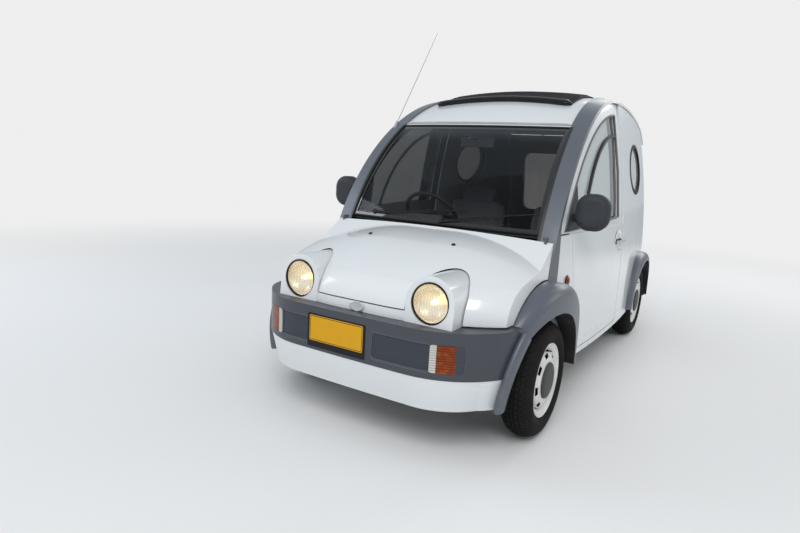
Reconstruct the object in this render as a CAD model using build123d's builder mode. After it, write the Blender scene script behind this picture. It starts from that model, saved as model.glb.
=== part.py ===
from build123d import *
from math import asin, cos, radians, sin, sqrt, tan
import os

os.makedirs("parts", exist_ok=True)

# Small retro panel van. Millimetres, Z up, ground at Z 0, nose towards -Y, its left side at +X.

# Running gear
TYRE_RADIUS = 289
TYRE_WIDTH = 155
BEAD_RADIUS = 165
FLANGE_RADIUS = 182
FRONT_AXLE_Y = -1120
REAR_AXLE_Y = 1140
WHEEL_X = 682
KINGPIN_X = 575
HUB_RADIUS = 32
RUN_GAP = 0.4
SEAT_GAP = 0.3
ARCH_RADIUS = 335
ARCH_SKIN = 8

# Body walls and gaps between panels
WALL = 38
ROOF_WALL = 28
GLASS = 6
SHUT_GAP = 6
DOOR_REAR_GAP = 10

# Side surface: widest place, curvature seen from the front and seen from above
SIDE_X = 755
SIDE_Z = 560
SIDE_Y = 300
SIDE_RISE_RADIUS = 5000
SIDE_PLAN_RADIUS = 11000

# Centre line of the cab and load space, seen from the side
CAB_ARC_Y = 310
CAB_ARC_Z = 405
CAB_ARC_RADIUS = 1400
ROOF_RADIUS = 5500
ROOF_END_Y = 1303
TAIL_CORNER_RADIUS = 300
TAIL_Y = 1734
TAIL_Z = 300
TAIL_LEAN = 9.6
TAIL_PLAN_RADIUS = 190
CROWN_AXIS_Z = -1500
SILL_Z = 262
FLOOR_TOP = 305
BASE_Z = 958
HEADER_Z = 1527

# Nose
DOME_Y = -890
DOME_FLAT = 120
DOME_TOP = 945
DOME_RADIUS = 1416
DOME_REACH = 778
DOME_SHOULDER = 700
BUMPER_TOP = 600
BUMPER_SPLIT = 390
VALANCE_BOTTOM = 240
BUMPER_Y = -1738
NOSE_SIDE_X = 690
NOSE_SIDE_Y = -600
NOSE_RISE_RADIUS = 4000
NOSE_PLAN_RADIUS = 9000
COWL_PLAN_RADIUS = 3700
COWL_SLOPE = 35
SKIN = 14

# Headlamps
LAMP_X = 368
LAMP_Z = 696
LAMP_RADIUS = 89
LAMP_RIM = 4
POD_HALF = 119
POD_Y = -1652
POD_LEAN = 6
POD_WALL = 12
LIP_HALF = LAMP_X - POD_HALF
LIP_Z = 650

# Doors
DOOR_FRONT_TOP = (-735, 960)
DOOR_FRONT_LOW = (-604, 300)
DOOR_REAR_Y = 300
DOOR_BOTTOM = 300
DOOR_TIP_Y = -881
BELT_Z = 968
BELT_RISE = 34
WINDOW_RADIUS = 1256
WINDOW_REAR_Y = 205
FRAME_INSET = 12
GLASS_INSET = 26

# Grey band from the front wheel up the pillar
BAND_EDGE = ((-882, 1056), (-897, 968), (-950, 500))
BAND_WIDTH = 85
BAND_PROUD = 6
BAND_TOP_PROUD = 10
BAND_DEPTH = 8

# Side window in the load space
PORT_Y = 800
PORT_Z = 1327
PORT_LONG = 250
PORT_HIGH = 180
PORT_RIM = 24

# Tailgate, its window and the rear bumper
HATCH_HALF = 560
HATCH_TOP = 1600
TAIL_BUMPER_TOP = 514
HATCH_BOTTOM = TAIL_BUMPER_TOP + 2 * SHUT_GAP
TAIL_BUMPER_Y = 1740
TAIL_BUMPER_X = 745
BUMPER_WALL = 40
REAR_PANE = (880, 520, 1180)
TAIL_LAMP = (470, 420, 190, 110)

# Canvas roof and the opening under it
CANVAS_HALF = 460
CANVAS_FRONT = -205
CANVAS_REAR = 905
CANVAS_LAP = 42

# Number plate, front lamps in the bumper and the pockets beside the plate
PLATE_X = -65
PLATE_Z = 497
PLATE_BACK = (336, 162)
LIGHT_X = 484
LIGHT_Z = 482
LIGHT_SIZE = (132, 124)
LIGHT_DEPTH = 36
POCKET_FROM = 128
POCKET_DEPTH = 7

# Wheel arch flares, seen from the side
FLARE_Y = -1070
FLARE_Z = 345
FLARE_RADIUS = 412
REAR_FLARE_RADIUS = 400
FLARE_LOW = 285
FLARE_SKIN = 12

# Suspension
ARM_TOP = 214
UPRIGHT_TOP = 445
SPINDLE_END = WHEEL_X + 15.6
TUNNEL_X = 425
INNER_SKIN = 6
TRAIL_X = (548, 590)
UNDER_FLOOR = SILL_Z + 14
FIREWALL_Y = -886

# Engine and exhaust
ENGINE_REAR = -1010
PIPE_X = 240
PIPE_Z = 196

# Seats and the raised load floor behind them
SEAT_FOOT = FLOOR_TOP + SEAT_GAP
LOAD_HALF = 525
LOAD_FRONT = 430
LOAD_REAR = 1460
LOAD_TOP = FLOOR_TOP + 12

# Steering wheel
WHEEL_TILT = 52
STEER_HUB = (-340, -400, 955)
STEER_RADIUS = 180
SHROUD_FROM = 66

# Hinge lines of bonnet and tailgate, seen from the side, with their barrels
BONNET_AXIS = (-959, 952)
BONNET_BARREL = 4
BONNET_HINGE_X = 622
HATCH_AXIS = (1480, 1612)
HATCH_BARREL = 6
HATCH_HINGE_X = 262
BARREL_LONG = 22


def side_form(offset, x=SIDE_X, y=SIDE_Y, rise=SIDE_RISE_RADIUS, plan=SIDE_PLAN_RADIUS):
    """All that lies inboard of the left side surface, grown by offset."""
    half = 15
    pivot = (x - plan, y, 0)
    start = Plane(
        origin=pivot,
        x_dir=(cos(radians(-half)), sin(radians(-half)), 0),
        z_dir=(sin(radians(-half)), -cos(radians(-half)), 0),
    )
    top = 2000
    bend = asin((top - SIDE_Z) / (rise + offset))
    mid = bend / 2
    centre = plan - rise
    with BuildPart() as form:
        with BuildSketch(start):
            with BuildLine():
                low = (plan + offset, 0)
                knee = (plan + offset, SIDE_Z)
                Line(low, knee)
                radius = rise + offset
                tip = (centre + radius * cos(bend), SIDE_Z + radius * sin(bend))
                ThreePointArc(knee, (centre + radius * cos(mid), SIDE_Z + radius * sin(mid)), tip)
                Polyline(tip, (plan - x - 900, tip[1]), (plan - x - 900, 0), low)
            make_face()
        revolve(axis=Axis(pivot, (0, 0, 1)), revolution_arc=2 * half)
    return form.part


def crown_plane(half):
    """Lengthwise plane turned about the crown axis by half of the sector."""
    turn = radians(-half)
    return Plane(
        origin=(0, 0, CROWN_AXIS_Z),
        x_dir=(0, 1, 0),
        z_dir=(cos(turn), 0, -sin(turn)),
    )


def walls(offset):
    """Cab and load space without its roof: both sides and the rounded tail."""
    left = side_form(offset)
    lean = tan(radians(TAIL_LEAN))
    shift = offset / cos(radians(TAIL_LEAN))
    high = 2100
    with BuildPart() as form:
        with BuildSketch(crown_plane(28)):
            outline = [
                (-1300, -CROWN_AXIS_Z),
                (TAIL_Y + TAIL_Z * lean + shift, -CROWN_AXIS_Z),
                (TAIL_Y - (high - TAIL_Z) * lean + shift, high - CROWN_AXIS_Z),
                (-1300, high - CROWN_AXIS_Z),
            ]
            Polygon(*outline, align=None)
        revolve(axis=Axis((0, 0, CROWN_AXIS_Z), (0, 1, 0)), revolution_arc=56)
        add(left, mode=Mode.INTERSECT)
        add(left.mirror(Plane.YZ), mode=Mode.INTERSECT)
        corners = form.edges().filter_by(lambda e: e.center().Y > 1200 and abs(e.center().X) > 300)
        corners = corners.filter_by(lambda e: e.bounding_box().size.Z > 900)
        fillet(corners, TAIL_PLAN_RADIUS + offset)
    return form.part


def roof_form(offset):
    """All that lies under the windscreen arc, the roof and its rear corner, grown by offset."""
    apex = (CAB_ARC_Y, CAB_ARC_Z + CAB_ARC_RADIUS + offset)
    first = CAB_ARC_RADIUS + offset
    low_turn = radians(6)
    low = (CAB_ARC_Y - first * cos(low_turn), CAB_ARC_Z + first * sin(low_turn))
    mid = (CAB_ARC_Y - first * cos(radians(50)), CAB_ARC_Z + first * sin(radians(50)))
    roof = ROOF_RADIUS + offset
    roof_z = CAB_ARC_Z + CAB_ARC_RADIUS - ROOF_RADIUS
    turn = asin((ROOF_END_Y - CAB_ARC_Y) / ROOF_RADIUS)
    roof_mid = (CAB_ARC_Y + roof * sin(turn / 2), roof_z + roof * cos(turn / 2))
    roof_end = (CAB_ARC_Y + roof * sin(turn), roof_z + roof * cos(turn))
    corner = TAIL_CORNER_RADIUS + offset
    corner_y = CAB_ARC_Y + (ROOF_RADIUS - TAIL_CORNER_RADIUS) * sin(turn)
    corner_z = roof_z + (ROOF_RADIUS - TAIL_CORNER_RADIUS) * cos(turn)
    last = radians(90 - TAIL_LEAN)
    half_way = (turn + last) / 2
    corner_mid = (corner_y + corner * sin(half_way), corner_z + corner * cos(half_way))
    corner_end = (corner_y + corner * sin(last), corner_z + corner * cos(last))

    def lift(point):
        return (point[0], point[1] - CROWN_AXIS_Z)

    with BuildPart() as form:
        with BuildSketch(crown_plane(28)):
            with BuildLine():
                ThreePointArc(lift(low), lift(mid), lift(apex))
                ThreePointArc(lift(apex), lift(roof_mid), lift(roof_end))
                ThreePointArc(lift(roof_end), lift(corner_mid), lift(corner_end))
                far = TAIL_Y + 200
                Polyline(
                    lift(corner_end),
                    (far, corner_end[1] - CROWN_AXIS_Z),
                    (far, -CROWN_AXIS_Z),
                    (low[0], -CROWN_AXIS_Z),
                    lift(low),
                )
            make_face()
        revolve(axis=Axis((0, 0, CROWN_AXIS_Z), (0, 1, 0)), revolution_arc=56)
    return form.part


def side_prism(outline, x_from, x_to):
    """An outline of side view points, pushed across the van."""
    with BuildPart() as prism:
        with BuildSketch(Plane.YZ.offset(x_from)):
            Polygon(*outline, align=None)
        extrude(amount=x_to - x_from)
    return prism.part


def block(x_from, x_to, y_from, y_to, z_from, z_to):
    """A plain block between six faces."""
    with BuildPart() as solid:
        with Locations(((x_from + x_to) / 2, (y_from + y_to) / 2, (z_from + z_to) / 2)):
            Box(x_to - x_from, y_to - y_from, z_to - z_from)
    return solid.part


def disc(y, z, radius, x_from, x_to):
    """A round bar across the van."""
    with BuildPart() as solid:
        with BuildSketch(Plane.YZ.offset(x_from)):
            with Locations((y, z)):
                Circle(radius)
        extrude(amount=x_to - x_from)
    return solid.part


def mirrored(shape):
    """The same piece on the right side of the van."""
    return shape.mirror(Plane.YZ)


def save(name, shape):
    """Write one named piece."""
    shape.label = name
    export_step(shape, "parts/" + name + ".step")


def intersected(*shapes):
    """What several solids share."""
    with BuildPart() as shared:
        add(shapes[0])
        for shape in shapes[1:]:
            add(shape, mode=Mode.INTERSECT)
    return shared.part


def cut(shape, *tools):
    """One solid less others."""
    with BuildPart() as rest:
        add(shape)
        for tool in tools:
            add(tool, mode=Mode.SUBTRACT)
    return rest.part


def between_sides(inset):
    """All that lies between the two side surfaces, each moved inwards by inset."""
    form = side_form(-inset)
    return intersected(form, mirrored(form))


def nose_form(offset):
    """Bonnet, cowl rise and fender sides as one solid, grown by offset."""
    arc = DOME_RADIUS + offset
    centre = DOME_TOP - DOME_RADIUS
    bend = asin(DOME_SHOULDER / DOME_RADIUS)
    top = (0, centre + arc)
    rise = (arc * sin(bend / 2), centre + arc * cos(bend / 2))
    shoulder = (arc * sin(bend), centre + arc * cos(bend))
    front = DOME_REACH + offset
    knuckle = (front - 20, shoulder[1] - 68)

    with BuildPart() as dome:
        for plane_x, arc_turn in ((-DOME_FLAT, 0), (DOME_FLAT, 90), (-DOME_FLAT, -90)):
            with BuildSketch(Plane(origin=(plane_x, DOME_Y, 0), x_dir=(0, 1, 0), z_dir=(1, 0, 0))):
                with BuildLine():
                    ThreePointArc(top, (-rise[0], rise[1]), (-shoulder[0], shoulder[1]))
                    ThreePointArc(
                        (-shoulder[0], shoulder[1]),
                        (-knuckle[0], knuckle[1]),
                        (-front, BUMPER_TOP),
                    )
                    Polyline((-front, BUMPER_TOP), (-front, 200), (0, 200), top)
                make_face()
            if arc_turn:
                revolve(axis=Axis((plane_x, DOME_Y, 0), (0, 0, 1)), revolution_arc=arc_turn)
            else:
                extrude(amount=2 * DOME_FLAT)
        fall = tan(radians(COWL_SLOPE))
        pivot = (0, -985 + COWL_PLAN_RADIUS, 0)
        turn = radians(-12)
        start = Plane(
            origin=pivot,
            x_dir=(sin(turn), -cos(turn), 0),
            z_dir=(-cos(turn), -sin(turn), 0),
        )
        reach = COWL_PLAN_RADIUS + offset
        with BuildSketch(start):
            Polygon(
                (reach - 110, 958 + offset + 60),
                (reach, 958 + offset),
                (reach + 260, 958 + offset - 260 * fall),
                (reach + 260, 640),
                (reach - 110, 640),
                align=None,
            )
        revolve(axis=Axis(pivot, (0, 0, 1)), revolution_arc=24)
    side = side_form(offset, NOSE_SIDE_X, NOSE_SIDE_Y, NOSE_RISE_RADIUS, NOSE_PLAN_RADIUS)
    return intersected(dome.part, side, mirrored(side))


def ring(y, z, outer, inner, x_from, x_to):
    """A round tube across the van."""
    return cut(disc(y, z, outer, x_from, x_to), disc(y, z, inner, x_from - 1, x_to + 1))


def door_outline(front, rear, bottom):
    """The door seen from the side with its gaps all round, as a thick prism without its top."""
    front_low = (DOOR_FRONT_LOW[0] - front, DOOR_BOTTOM - bottom)
    front_top = (DOOR_FRONT_TOP[0] - front, DOOR_FRONT_TOP[1])
    tip_y = DOOR_TIP_Y - front
    rear_y = DOOR_REAR_Y + rear
    outline = [
        front_low,
        front_top,
        (front_top[0], BELT_Z - front),
        (tip_y, BELT_Z - front),
        (tip_y, 2000),
        (rear_y, 2000),
        (rear_y, DOOR_BOTTOM - bottom),
    ]
    return side_prism(outline, 300, 900)


def window_outline(inset):
    """The door window seen from the side, moved inwards by inset, as a thick prism."""
    radius = WINDOW_RADIUS - inset
    low = BELT_Z + 12 + inset
    rear = WINDOW_REAR_Y - inset
    front = (CAB_ARC_Y - sqrt(radius**2 - (low - CAB_ARC_Z) ** 2), low)
    turn = radians(52)
    mid = (CAB_ARC_Y - radius * cos(turn), CAB_ARC_Z + radius * sin(turn))
    top = (rear, CAB_ARC_Z + sqrt(radius**2 - (CAB_ARC_Y - rear) ** 2))
    with BuildPart() as prism:
        with BuildSketch(Plane.YZ.offset(300)):
            with BuildLine():
                ThreePointArc(front, mid, top)
                Polyline(top, (rear, low + BELT_RISE), front)
            make_face()
        extrude(amount=600)
    return prism.part


def plan_arcs(inset):
    """The bumper seen from above, moved inwards by inset: arcs from its right end to its left."""
    front = BUMPER_Y + inset
    corner = 700 - inset
    bend = (corner - 86, -1590 + inset * 0.8)
    half = [
        ((0, front), (150, front + 1), (300, front + 4)),
        ((300, front + 4), (465, -1700 + inset), bend),
        (bend, (corner - 30, -1510 + inset * 0.3), (corner, -1400)),
    ]
    return half + [tuple((-x, y) for x, y in arc) for arc in half]


def plan_prism(inset, z_from, z_to, low_inset=None):
    """The bumper's form between two heights, drawn in towards its foot where low_inset is given."""
    with BuildPart() as prism:
        for z, inwards in ((z_to, inset), (z_from, inset if low_inset is None else low_inset)):
            corner = 700 - inwards
            with BuildSketch(Plane.XY.offset(z)):
                with BuildLine():
                    for arc in plan_arcs(inwards):
                        ThreePointArc(*arc)
                    Polyline((-corner, -1400), (-corner, -1200), (corner, -1200), (corner, -1400))
                make_face()
        loft()
    return prism.part


walls_out = walls(0)
walls_in = walls(-WALL)
roof_out = roof_form(0)
roof_in = roof_form(-ROOF_WALL)
roof_under = roof_form(-BAND_DEPTH)
roof_band = roof_form(BAND_TOP_PROUD)
inner_sides = between_sides(BAND_WIDTH)
pane_sides = between_sides(BAND_WIDTH + SEAT_GAP)
nose_out = nose_form(0)
nose_in = nose_form(-SKIN)
nose_side = (NOSE_SIDE_X, NOSE_SIDE_Y, NOSE_RISE_RADIUS, NOSE_PLAN_RADIUS)
bumper_clear = disc(FRONT_AXLE_Y, TYRE_RADIUS, ARCH_RADIUS + ARCH_SKIN + SEAT_GAP, -900, 900)

# Body sides with their door and wheel openings
rear_arch = disc(REAR_AXLE_Y, TYRE_RADIUS, ARCH_RADIUS + 10, 300, 900)
front_opening = disc(FRONT_AXLE_Y, TYRE_RADIUS, ARCH_RADIUS + 10, 300, 900)
band_low = side_prism([(-1300, 1100), *BAND_EDGE, (-950, 100), (-1300, 100)], 300, 900)
behind_rear_wheel = cut(
    block(300, 900, 1300, 2000, 0, HATCH_BOTTOM - SHUT_GAP),
    disc(REAR_AXLE_Y, TYRE_RADIUS, REAR_FLARE_RADIUS, 299, 901),
)
with BuildPart() as porthole_hole:
    with BuildSketch(Plane.YZ.offset(300)):
        with Locations((PORT_Y, PORT_Z)):
            Ellipse(PORT_LONG, PORT_HIGH)
    extrude(amount=600)
with BuildPart() as side_left:
    add(walls_out)
    add(roof_form(-BAND_DEPTH - SEAT_GAP), mode=Mode.INTERSECT)
    add(walls_in, mode=Mode.SUBTRACT)
    add(block(-900, 300, -2000, 2000, 0, 2200), mode=Mode.SUBTRACT)
    add(block(300, HATCH_HALF + SHUT_GAP, 1200, 2000, 0, 2200), mode=Mode.SUBTRACT)
    add(block(300, 900, -2000, 2000, 0, SILL_Z), mode=Mode.SUBTRACT)
    add(behind_rear_wheel, mode=Mode.SUBTRACT)
    add(door_outline(SHUT_GAP, DOOR_REAR_GAP, SHUT_GAP), mode=Mode.SUBTRACT)
    add(block(300, 900, -1300, CAB_ARC_Y, BELT_Z - SHUT_GAP, 2000), mode=Mode.SUBTRACT)
    add(porthole_hole.part, mode=Mode.SUBTRACT)
    add(rear_arch, mode=Mode.SUBTRACT)
    add(front_opening, mode=Mode.SUBTRACT)
    add(band_low, mode=Mode.SUBTRACT)
save("side_left", side_left.part)
save("side_right", mirrored(side_left.part))

# Oval side window: a dark surround and its pane
with BuildPart() as surround_cut:
    with BuildSketch(Plane.YZ.offset(300)):
        with Locations((PORT_Y, PORT_Z)):
            Ellipse(PORT_LONG - SEAT_GAP, PORT_HIGH - SEAT_GAP)
            Ellipse(PORT_LONG - PORT_RIM, PORT_HIGH - PORT_RIM, mode=Mode.SUBTRACT)
    extrude(amount=600)
with BuildPart() as pane_cut:
    with BuildSketch(Plane.YZ.offset(300)):
        with Locations((PORT_Y, PORT_Z)):
            Ellipse(PORT_LONG - PORT_RIM - SEAT_GAP, PORT_HIGH - PORT_RIM - SEAT_GAP)
    extrude(amount=600)
surround = intersected(cut(side_form(3), side_form(-WALL + 8)), surround_cut.part)
pane = intersected(cut(side_form(-10), side_form(-10 - GLASS)), pane_cut.part)
save("porthole_rims", Compound([surround, mirrored(surround)]))
save("porthole_glass", Compound([pane, mirrored(pane)]))

# Doors with their windows
lower_slab = cut(side_form(0), side_form(-WALL))
upper_slab = cut(side_form(-FRAME_INSET), side_form(-WALL))
door_form = intersected(door_outline(0, 0, 0), roof_form(-BAND_DEPTH - SHUT_GAP))
with BuildPart() as divider_cut:
    with BuildSketch(Plane.YZ.offset(300)):
        with BuildLine():
            ThreePointArc((WINDOW_REAR_Y + 4, 1528), (-250, 1372), (-520, BELT_Z))
        trace(line_width=16)
    extrude(amount=600)
with BuildPart() as door_left:
    add(lower_slab)
    add(block(300, 900, -1000, 400, 200, BELT_Z - 4), mode=Mode.INTERSECT)
    add(upper_slab)
    add(door_form, mode=Mode.INTERSECT)
    add(window_outline(0), mode=Mode.SUBTRACT)
    add(intersected(cut(side_form(-FRAME_INSET), side_form(-GLASS_INSET + SEAT_GAP)), divider_cut.part))
door_glass = intersected(
    cut(side_form(-GLASS_INSET), side_form(-GLASS_INSET - GLASS)),
    window_outline(SEAT_GAP),
)
save("door_left", door_left.part)
save("door_right", mirrored(door_left.part))
save("door_glass_left", door_glass)
save("door_glass_right", mirrored(door_glass))

# Door mirror: a dark foot in the lower front corner of the window and a big rounded head
mirror_zone = side_prism([(-900, 900), (-640, 900), (-640, 1120), (-660, 1300), (-900, 1300)], 300, 900)
with BuildPart() as mirror_left:
    add(side_form(-4))
    add(window_outline(SEAT_GAP), mode=Mode.INTERSECT)
    add(mirror_zone, mode=Mode.INTERSECT)
    with Locations(Plane(origin=(700, -700, 1050), z_dir=(1, -0.25, 0.1))):
        Cylinder(22, 90)
    with BuildSketch(Plane(origin=(790, -790, 1085), x_dir=(1, 0.12, 0), z_dir=(0.12, -1, 0))):
        RectangleRounded(170, 190, 72)
    extrude(amount=-70)
    fillet(mirror_left.faces().sort_by(Axis.Y)[0].edges(), 40)
    add(side_form(-GLASS_INSET + SEAT_GAP), mode=Mode.SUBTRACT)
save("mirror_left", mirror_left.part)
save("mirror_right", mirrored(mirror_left.part))

# Pull handle on the door
with BuildPart() as handle_left:
    with BuildSketch(Plane.XZ.offset(-250)):
        with Locations((752 + 20, 857)):
            RectangleRounded(12, 26, 5)
    extrude(amount=150)
    for grip_y in (120, 230):
        with Locations((752 + 4, grip_y, 857)):
            Box(30, 16, 18)
    add(side_form(SEAT_GAP), mode=Mode.SUBTRACT)
save("handle_left", handle_left.part)
save("handle_right", mirrored(handle_left.part))

# Grey bands from the front wheel arch up the windscreen pillar and along the roof edge
side_band = cut(side_form(BAND_PROUD), side_form(-WALL))
with BuildPart() as band_left:
    add(roof_band)
    add(roof_under, mode=Mode.SUBTRACT)
    add(side_form(BAND_PROUD), mode=Mode.INTERSECT)
    add(inner_sides, mode=Mode.SUBTRACT)
    add(block(300, 900, -1200, 1480, 740, 2000), mode=Mode.INTERSECT)
    add(block(300, HATCH_HALF + SHUT_GAP, 1200, 2000, 0, HATCH_TOP + SHUT_GAP), mode=Mode.SUBTRACT)
    add(intersected(side_band, roof_band, band_low, block(300, 900, -1200, 0, 640, 1100)))
    hinge_y, hinge_z = BONNET_AXIS
    add(disc(hinge_y, hinge_z, BONNET_BARREL, BONNET_HINGE_X - 12, BONNET_HINGE_X))
    add(block(BONNET_HINGE_X - 12, BONNET_HINGE_X, hinge_y, hinge_y + 12, hinge_z - 3, hinge_z + 3))
save("pillar_bands", Compound([band_left.part, mirrored(band_left.part)]))

# Roof panel with its opening, and the folding canvas over it
roof_opening = (
    -CANVAS_HALF + CANVAS_LAP,
    CANVAS_HALF - CANVAS_LAP,
    CANVAS_FRONT + CANVAS_LAP,
    CANVAS_REAR - CANVAS_LAP,
    1500,
    2000,
)
with BuildPart() as roof_panel:
    add(roof_out)
    add(roof_in, mode=Mode.SUBTRACT)
    add(pane_sides, mode=Mode.INTERSECT)
    add(block(-900, 900, -1200, CAB_ARC_Y, 0, HEADER_Z), mode=Mode.SUBTRACT)
    add(block(-900, 900, CAB_ARC_Y, 2200, 0, HATCH_TOP + SHUT_GAP), mode=Mode.SUBTRACT)
    add(block(*roof_opening), mode=Mode.SUBTRACT)
    hatch_y, hatch_z = HATCH_AXIS
    knuckle_from = HATCH_HINGE_X - BARREL_LONG
    for shape in (
        disc(hatch_y, hatch_z, HATCH_BARREL, knuckle_from, HATCH_HINGE_X),
        block(knuckle_from, HATCH_HINGE_X, hatch_y - 24, hatch_y, hatch_z - 4, hatch_z + 4),
    ):
        add(shape)
        add(mirrored(shape))
with BuildPart() as canvas_roof:
    add(roof_form(24))
    add(roof_form(SEAT_GAP), mode=Mode.SUBTRACT)
    add(block(-CANVAS_HALF, CANVAS_HALF, CANVAS_FRONT, CANVAS_REAR, 1500, 2000), mode=Mode.INTERSECT)
    front_bar = block(-CANVAS_HALF - 2, CANVAS_HALF + 2, CANVAS_FRONT - 33, CANVAS_FRONT + 35, 1500, 2000)
    add(intersected(cut(roof_form(38), roof_form(SEAT_GAP)), front_bar))
save("roof_panel", roof_panel.part)
save("canvas_roof", canvas_roof.part)

# Windscreen
with BuildPart() as windscreen:
    add(roof_out)
    add(roof_form(-GLASS), mode=Mode.SUBTRACT)
    add(pane_sides, mode=Mode.INTERSECT)
    add(block(-900, 900, -1200, 0, BASE_Z, HEADER_Z - SEAT_GAP), mode=Mode.INTERSECT)
save("windscreen", windscreen.part)

# Bonnet with the cowl rise and both fender sides, open round the lamp pods
def pod_prism(grow, bottom=BUMPER_TOP + SEAT_GAP):
    """One arch-shaped lamp pod as a solid, grown by grow, down to bottom."""
    lean_plane = Plane(
        origin=(LAMP_X, POD_Y, LAMP_Z),
        x_dir=(1, 0, 0),
        z_dir=(0, -cos(radians(POD_LEAN)), sin(radians(POD_LEAN))),
    )
    width = 2 * (POD_HALF + grow)
    with BuildPart() as pod:
        with BuildSketch(Plane.XZ.offset(-POD_Y + 20)):
            with Locations((LAMP_X, LAMP_Z)):
                Circle(POD_HALF + grow)
            with Locations((LAMP_X, (LAMP_Z + bottom) / 2)):
                Rectangle(width, LAMP_Z - bottom)
            with Locations((LAMP_X, bottom + width)):
                Rectangle(width, 2 * width, mode=Mode.INTERSECT)
        extrude(amount=-400)
        split(bisect_by=lean_plane.offset(grow), keep=Keep.BOTTOM)
    return pod.part


flare_disc = disc(FLARE_Y, FLARE_Z, FLARE_RADIUS + SHUT_GAP, 400, 900)
pod_gap = pod_prism(SHUT_GAP, BUMPER_TOP - SHUT_GAP)
with BuildPart() as bonnet:
    add(nose_out)
    add(nose_in, mode=Mode.SUBTRACT)
    add(block(-900, 900, -1800, -800, BUMPER_TOP + SHUT_GAP, 1100), mode=Mode.INTERSECT)
    add(block(-LIP_HALF - SHUT_GAP, LIP_HALF + SHUT_GAP, -1800, -1500, 500, LIP_Z), mode=Mode.SUBTRACT)
    add(roof_form(15), mode=Mode.SUBTRACT)
    for shape in (pod_gap, flare_disc):
        add(shape, mode=Mode.SUBTRACT)
        add(mirrored(shape), mode=Mode.SUBTRACT)
    barrel_x = BONNET_HINGE_X + SEAT_GAP
    barrel = disc(hinge_y, hinge_z, BONNET_BARREL, barrel_x, barrel_x + 12)
    lug = cut(block(barrel_x, barrel_x + 12, hinge_y - 20, hinge_y, hinge_z - 30, hinge_z), roof_form(13))
    for shape in (barrel, lug):
        add(shape)
        add(mirrored(shape))
save("bonnet", bonnet.part)

# Lamp pods and the nose panel between them
with BuildPart() as pod_left:
    add(pod_prism(0))
    add(pod_prism(-POD_WALL, BUMPER_TOP - POD_WALL), mode=Mode.SUBTRACT)
    add(nose_form(-70), mode=Mode.SUBTRACT)
    with BuildSketch(Plane.XZ.offset(-POD_Y + 30)):
        with Locations((LAMP_X, LAMP_Z)):
            Circle(LAMP_RADIUS + LAMP_RIM + SEAT_GAP)
    extrude(amount=-120, mode=Mode.SUBTRACT)
save("lamp_pods", Compound([pod_left.part, mirrored(pod_left.part)]))
panel_half = LIP_HALF - SEAT_GAP
panel_zone = block(-panel_half, panel_half, -1800, -1500, BUMPER_TOP + SEAT_GAP, LIP_Z - SHUT_GAP)
with BuildPart() as nose_panel:
    add(nose_out)
    add(nose_in, mode=Mode.SUBTRACT)
    add(panel_zone, mode=Mode.INTERSECT)
save("nose_panel", nose_panel.part)

# Round headlamps, each a shallow bowl with a domed lens
with BuildPart() as lamp_left:
    with BuildSketch(Plane(origin=(LAMP_X, POD_Y, LAMP_Z), x_dir=(1, 0, 0), z_dir=(0, 0, 1))):
        with BuildLine():
            edge = LAMP_RADIUS + LAMP_RIM
            ThreePointArc((0, -16), (56, -8), (LAMP_RADIUS, 12))
            Polyline((LAMP_RADIUS, 12), (edge, 14), (edge, 30), (70, 70), (0, 90), (0, -16))
        make_face()
    revolve(axis=Axis((LAMP_X, POD_Y, LAMP_Z), (0, 1, 0)), revolution_arc=360)
save("headlamps", Compound([lamp_left.part, mirrored(lamp_left.part)]))

# Front bumper with its ledge, the valance below, lamps and the number plate
behind_bumper = side_prism([(-1505.5, 0), (-1385.5, 640), (-1100, 640), (-1100, 0)], -900, 900)
pocket_end = LIGHT_X - LIGHT_SIZE[0] / 2 + 10
with BuildPart() as pockets:
    for side in (-1, 1):
        with BuildSketch(Plane.XZ.offset(1800)):
            with Locations((side * (POCKET_FROM + pocket_end) / 2, LIGHT_Z)):
                RectangleRounded(pocket_end - POCKET_FROM, LIGHT_SIZE[1], 24)
        extrude(amount=-300)
    add(plan_prism(POCKET_DEPTH, BUMPER_SPLIT, BUMPER_TOP), mode=Mode.SUBTRACT)
with BuildPart() as front_bumper:
    add(plan_prism(0, BUMPER_SPLIT, BUMPER_TOP))
    add(plan_prism(BUMPER_WALL, BUMPER_SPLIT - 1, BUMPER_TOP - 24), mode=Mode.SUBTRACT)
    add(nose_form(SHUT_GAP), mode=Mode.SUBTRACT)
    add(behind_bumper, mode=Mode.SUBTRACT)
    add(bumper_clear, mode=Mode.SUBTRACT)
    add(pockets.part, mode=Mode.SUBTRACT)
    for side in (-1, 1):
        with BuildSketch(Plane.XZ.offset(1800)):
            with Locations((side * LIGHT_X, LIGHT_Z)):
                RectangleRounded(*LIGHT_SIZE, 12)
        extrude(amount=-300, mode=Mode.SUBTRACT)
    with BuildSketch(Plane.XZ.offset(1800)):
        with Locations((PLATE_X, PLATE_Z - 12)):
            RectangleRounded(*PLATE_BACK, 10)
    extrude(amount=-76, mode=Mode.SUBTRACT)
save("front_bumper", front_bumper.part)
with BuildPart() as front_valance:
    add(plan_prism(2, VALANCE_BOTTOM, BUMPER_SPLIT - SEAT_GAP, 34))
    add(plan_prism(24, VALANCE_BOTTOM - 1, BUMPER_SPLIT + 1, 54), mode=Mode.SUBTRACT)
    add(behind_bumper, mode=Mode.SUBTRACT)
    add(bumper_clear, mode=Mode.SUBTRACT)
save("front_valance", front_valance.part)
indicator_row = []
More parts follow.
